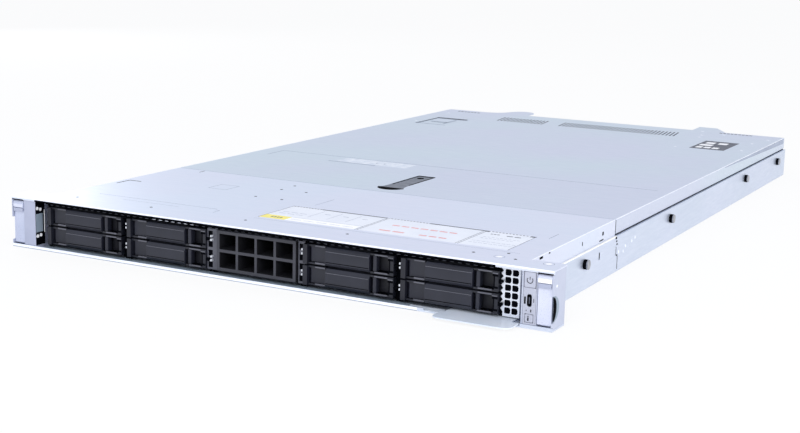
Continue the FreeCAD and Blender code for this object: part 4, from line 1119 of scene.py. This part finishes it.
cut = {
    "x": 241.0, "front": 0.3, "height": 15.8, "depth": 0.12, "open": 0.4,
    "layers": {"Rim": {"half": (10.6, 9.4), "reach": 0.0, "finish": greyStickerAndShade},
               "Hollow": {"half": (5.8, 8.7), "reach": 0.04, "finish": blackAndShade}},
}
for part, look in cut["layers"].items():
    halfDepth, halfHeight = look["half"]
    dish = disc(f"rightCut{part}", (cut["x"] + look["reach"], cut["front"], cut["height"]), halfHeight,
                cut["depth"], "x", 48)
    pickAll(dish)
    bpy.ops.transform.resize(value=(1, halfDepth / halfHeight, 1),
                             center_override=at(cut["x"], cut["front"], cut["height"]))
    bpy.ops.object.mode_set(mode="OBJECT")
    halve(dish, (0, cut["open"], 0), "y", True)
    done(dish, "root", look["finish"], "silver_paint")
spot = {"y": 5.4, "z": 31.3, "radius": 1.1, "depth": 0.16, "edge": 0.05}
earDot = puck("rightEarDot", (cut["x"], spot["y"], spot["z"]), spot["radius"], spot["depth"], "x", 20,
              spot["edge"], 1)
done(earDot, "root", whitePrintAndHighlight, "silver_paint")
print("finger cut dressed")


# Ear latches: painted shade in the gap above each pull, then a painted highlight band with a painted shade
# band below it

pullGap = {"across": (229.1, 240.6), "deep": (-0.08, 0.6), "rise": (39.6, 40.5)}
pullBand = {
    "across": (229.5, 239.2), "deep": (-0.2, 0.6),
    "parts": {"Glint": {"rise": (33.6, 36.4), "finish": {"left": lacquerLatchAndGlint, "right": creamHighlight}},
              "Shade": {"rise": (29.9, 32.9), "finish": {"left": shadedEar, "right": shadedEar}}},
}
for side in sides:
    gap = slab(f"{side}PullGap", spread(side, pullGap["across"]), pullGap["deep"], pullGap["rise"])
    done(gap, "root", blackAndShade, "silver_paint")
    for part, look in pullBand["parts"].items():
        band = slab(f"{side}Latch{part}", spread(side, pullBand["across"]), pullBand["deep"], look["rise"],
                    segments=2)
        done(band, f"{side}_latch", look["finish"][side], "silver_paint")
print("ear latches dressed")


# Drive bays: light pipes beside the carriers, clips beside the blank, fingers along the roof

bayLefts = (-208.5, -126.1, -43.7, 38.7, 121.1)
rowFloors = (20.5, 4.4)
firstLeft, firstFloor = bayLefts[0], rowFloors[0]
pipe = {"across": (-1.6, -0.4), "deep": (6.3, 9.4), "rises": (10.4, 7.4), "half": 0.8, "edge": 0.25}
pipes = [slab("pipe", along(left, pipe["across"]), pipe["deep"], around(floor + rise, pipe["half"]),
              pipe["edge"], 2)
         for left in bayLefts[1:] for floor in rowFloors for rise in pipe["rises"]]
done(merge("lightPipes", pipes), "root", clearPipe, "drive_metal")

clip = {
    "front": 9.0, "depth": 1.6, "rise": (4.0, 36.4), "edge": 0.3, "spans": ((-50.0, -39.9), (32.9, 38.5)),
    "window": {"across": (1.1, 5.4), "out": (-0.15, 0.6), "heights": (32.2, 24.0, 17.2, 8.0), "half": 2.4},
}
frames = []
windows = []
for span in clip["spans"]:
    frames.append(slab("clipFrame", span, along(clip["front"], (0.0, clip["depth"])), clip["rise"],
                       clip["edge"], 2))
    look = clip["window"]
    windows += [slab("clipWindow", along(span[0], look["across"]), along(clip["front"], look["out"]),
                     around(z, look["half"]), clip["edge"]) for z in look["heights"]]
done(merge("blankClips", frames), "root", nylonClipAndHighlight, "black_plastic")
# Painted shade: the windows in the clips are black for the dark behind them
done(merge("blankClipWindows", windows), "root", blackAndShade, "black_plastic")

# Fingers along the roof, grey; the bright row over a few of them is a painted highlight where they catch the
# light
finger = {
    "width": 2.8, "pitch": 6.1, "deep": (8.2, 9.4), "edge": 0.12,
    "rows": {"roofFingers": {"start": -207.0, "count": 66, "rise": (36.9, 37.25), "finish": nylonClipAndHighlight},
             "brightFingers": {"start": -102.0, "count": 7, "rise": (37.0, 37.5), "finish": nickelStripAndHighlight}},
}
for name, look in finger["rows"].items():
    row = slab(name, along(look["start"], (0.0, finger["width"])), finger["deep"], look["rise"],
               finger["edge"])
    repeat(row, look["count"], (finger["pitch"], 0, 0))
    done(row, "root", look["finish"])

# The folded hems above and below the bays, each a painted highlight line beside a painted shade line, and
# the ground under the tag
hemDeep = (-0.06, 0.4)
hemEnds = (-240.8, 240.8)
baseEnds = (-240.8, 138.0)
hemLines = {
    "hemShade": {"ends": (-216.5, 197.5), "rise": (40.05, 41.4), "finish": blackAndShade},
    "hemShine": {"ends": hemEnds, "rise": (41.5, 42.7), "finish": brightEdge},
    "baseShine": {"ends": baseEnds, "rise": (0.6, 2.5), "finish": brightEdge},
    "baseShade": {"ends": baseEnds, "rise": (0.05, 0.45), "finish": scribedZinc},
    "tagGround": {"ends": (139.0, 158.0), "rise": (0.3, 1.2), "finish": dullFilm},
}
for name, look in hemLines.items():
    done(slab(name, look["ends"], hemDeep, look["rise"], 0.05), "root", look["finish"])

# Thin films on the floor of the tag's slot and of the bays
floorFilms = {
    "tagFloor": {"ends": (128.5, 157.0), "deep": (0.2, 9.0), "rise": (1.22, 1.55), "finish": dullFilm},
    "baySill": {"ends": (-212.0, 128.0), "deep": (1.4, 11.5), "rise": (1.22, 1.5), "finish": greyStickerAndShade},
}
for name, look in floorFilms.items():
    done(slab(name, look["ends"], look["deep"], look["rise"]), "root", look["finish"])
print("bays dressed")


# Handles: a fine pale line along each grip's upper edge as a painted highlight, and a dark one along its
# lower edge as painted shade in the groove

gripLine = {
    "ends": (19.7, 56.1), "back": 6.15, "edge": 0.08,
    "rows": {"gripCrease": {"rise": (11.15, 11.6), "front": 5.82, "finish": nylonClipAndHighlight},
             "gripGroove": {"rise": (3.0, 3.6), "front": 5.93, "finish": blackAndShade}},
}
for name, look in gripLine["rows"].items():
    crease = slab(f"{name}1", along(firstLeft, gripLine["ends"]), (look["front"], gripLine["back"]),
                  along(firstFloor, look["rise"]), gripLine["edge"], 2)
    done(crease, "handle_1", look["finish"], "handle_black")
    copyToBays(crease, "carrier_handle", "handle", name, "handle_black")
print("handles dressed")


# Carriers: black corners painted as shade, pale strips above and below painted as highlights on the flanges,
# the latch knob.
# Each row is where it starts and ends across, in depth and in height, from the carrier's corner.

carrierDress = {
    "plateShine": {"finish": nylonClipAndHighlight, "rows": (
        ((9.7, 18.3), (1.8, 2.4), (13.5, 14.6)), ((9.7, 18.3), (1.8, 2.4), (0.5, 1.7)),
        ((60.4, 71.2), (0.85, 1.4), (13.5, 14.6)), ((71.4, 75.6), (0.85, 1.4), (12.7, 13.6)),
        ((60.4, 71.2), (0.85, 1.4), (0.4, 1.5)))},
    "cornerShade": {"finish": blackAndShade, "rows": (
        ((71.5, 75.9), (0.9, 1.4), (10.9, 12.5)), ((71.5, 75.9), (0.9, 1.4), (2.2, 3.8)),
        ((72.4, 73.3), (0.85, 1.4), (3.8, 10.9)))},
}
startY = (carrierHome.y - frontY) * 1000
for name, look in carrierDress.items():
    pads = [slab(name, along(firstLeft, across), along(startY, deep), along(firstFloor, rise), 0.12, 2)
            for across, deep, rise in look["rows"]]
    first = done(merge(f"{name}1", pads), "carrier_1", look["finish"], "handle_black")
    copyToBays(first, "drive_carrier", "carrier", name, "handle_black")
knob = {"x": 78.4, "y": 2.1, "z": 8.0, "radius": 1.15, "length": 1.4, "edge": 0.3}
first = puck("carrierKnob1", (firstLeft + knob["x"], startY + knob["y"], firstFloor + knob["z"]),
             knob["radius"], knob["length"], "y", 16, knob["edge"])
done(first, "carrier_1", blackAndShade, "drive_metal")
copyToBays(first, "drive_carrier", "carrier", "carrierKnob", "drive_metal")
print("carriers dressed")


# Vent strip: the wide square mouths of its holes, painted black for the shade inside them

mouth = {"first": (203.0, 7.6), "step": (5.45, 5.44), "half": (2.1, 2.2), "deep": (10.12, 10.3),
         "round": 0.8, "rows": 6, "columns": 2}
mouths = []
for column in range(mouth["columns"]):
    x, z = mouth["first"][0] + column * mouth["step"][0], mouth["first"][1]
    opening = block("mouth", around(x, mouth["half"][0]), mouth["deep"], around(z, mouth["half"][1]))
    roundEdges(opening, mouth["round"], "y", 3)
    repeat(opening, mouth["rows"], (0, 0, mouth["step"][1]))
    mouths.append(opening)
done(merge("ventMouths", mouths), "root", blackAndShade)
print("vent strip dressed")


# Control panel: the open ring and bar of a power sign, and a bar and a dot for information.
# Depths are from the panel's face.

panelFront = 0.8
power = {
    "x": 223.2, "out": -0.25, "z": 34.0, "radius": 2.1, "wire": 0.28, "cut": 35.4,
    "bar": {"across": (222.95, 223.45), "out": (-0.42, -0.1), "rise": (34.2, 36.4), "edge": 0.08},
}
openRing = hoop((power["x"], panelFront + power["out"], power["z"]), power["radius"], power["wire"],
                "y", 32, 6)
halve(openRing, (power["x"], 0, power["cut"]), "z", False)
look = power["bar"]
bar = slab("signBar", look["across"], along(panelFront, look["out"]), look["rise"], look["edge"])
done(merge("powerSign", [openRing, bar]), "power_button", blackAndShade, "panel_grey")
info = {
    "across": (222.3, 223.3), "out": (-0.3, -0.12), "rise": (5.4, 7.8), "edge": 0.08,
    "dot": {"x": 222.8, "out": -0.21, "z": 8.6, "radius": 0.45, "depth": 0.18},
}
stem = slab("infoStem", info["across"], along(panelFront, info["out"]), info["rise"], info["edge"])
look = info["dot"]
dot = disc("infoDot", (look["x"], panelFront + look["out"], look["z"]), look["radius"], look["depth"],
           "y", 12)
done(merge("infoSign", [stem, dot]), "info_button", blackAndShade, "panel_grey")

# The upright socket, painted black for the shade inside it, with its tongue, and the status lamp
port = {
    "across": (221.5, 225.0), "out": (-0.12, 0.5), "rise": (15.9, 23.8), "round": 1.2,
    "border": 0.75, "sink": 0.12,
    "tongue": {"across": (222.9, 223.6), "out": (-0.14, 0.4), "rise": (17.6, 22.1), "round": 0.2},
}
shade = block("portShade", port["across"], along(panelFront, port["out"]), port["rise"])
roundEdges(shade, port["round"], "y", 4)
sinkFace(shade, "y", -1, port["border"], port["sink"])
done(shade, "root", blackAndShade, "port_shell")
look = port["tongue"]
tongue = block("portTongue", look["across"], along(panelFront, look["out"]), look["rise"])
roundEdges(tongue, look["round"], "y", 2)
done(tongue, "root", greyInkAndShade, "port_shell")
status = {"across": (219.3, 220.4), "out": (-0.12, 0.4), "rise": (17.0, 22.0), "edge": 0.15}
lamp = slab("statusSlot", status["across"], along(panelFront, status["out"]), status["rise"],
            status["edge"], 2)
done(lamp, "root", blackAndShade, "panel_grey")

# Three small marks beside them
mark = {
    "out": (-0.1, 0.1), "edge": 0.08,
    "dot": {"x": 221.2, "out": -0.03, "z": 12.6, "radius": 0.35, "depth": 0.16},
    "slash": {"across": (224.2, 224.9), "rise": (11.6, 13.6)},
    "tick": {"across": (226.2, 226.7), "rise": (18.6, 21.4)},
}
look = mark["dot"]
marks = [disc("panelDot", (look["x"], panelFront + look["out"], look["z"]), look["radius"], look["depth"],
              "y", 12)]
for part in ("slash", "tick"):
    marks.append(slab(part, mark[part]["across"], along(panelFront, mark["out"]), mark[part]["rise"],
                      mark["edge"]))
done(merge("panelMarksFront", marks), "root", blackAndShade, "panel_grey")
print("control panel dressed")
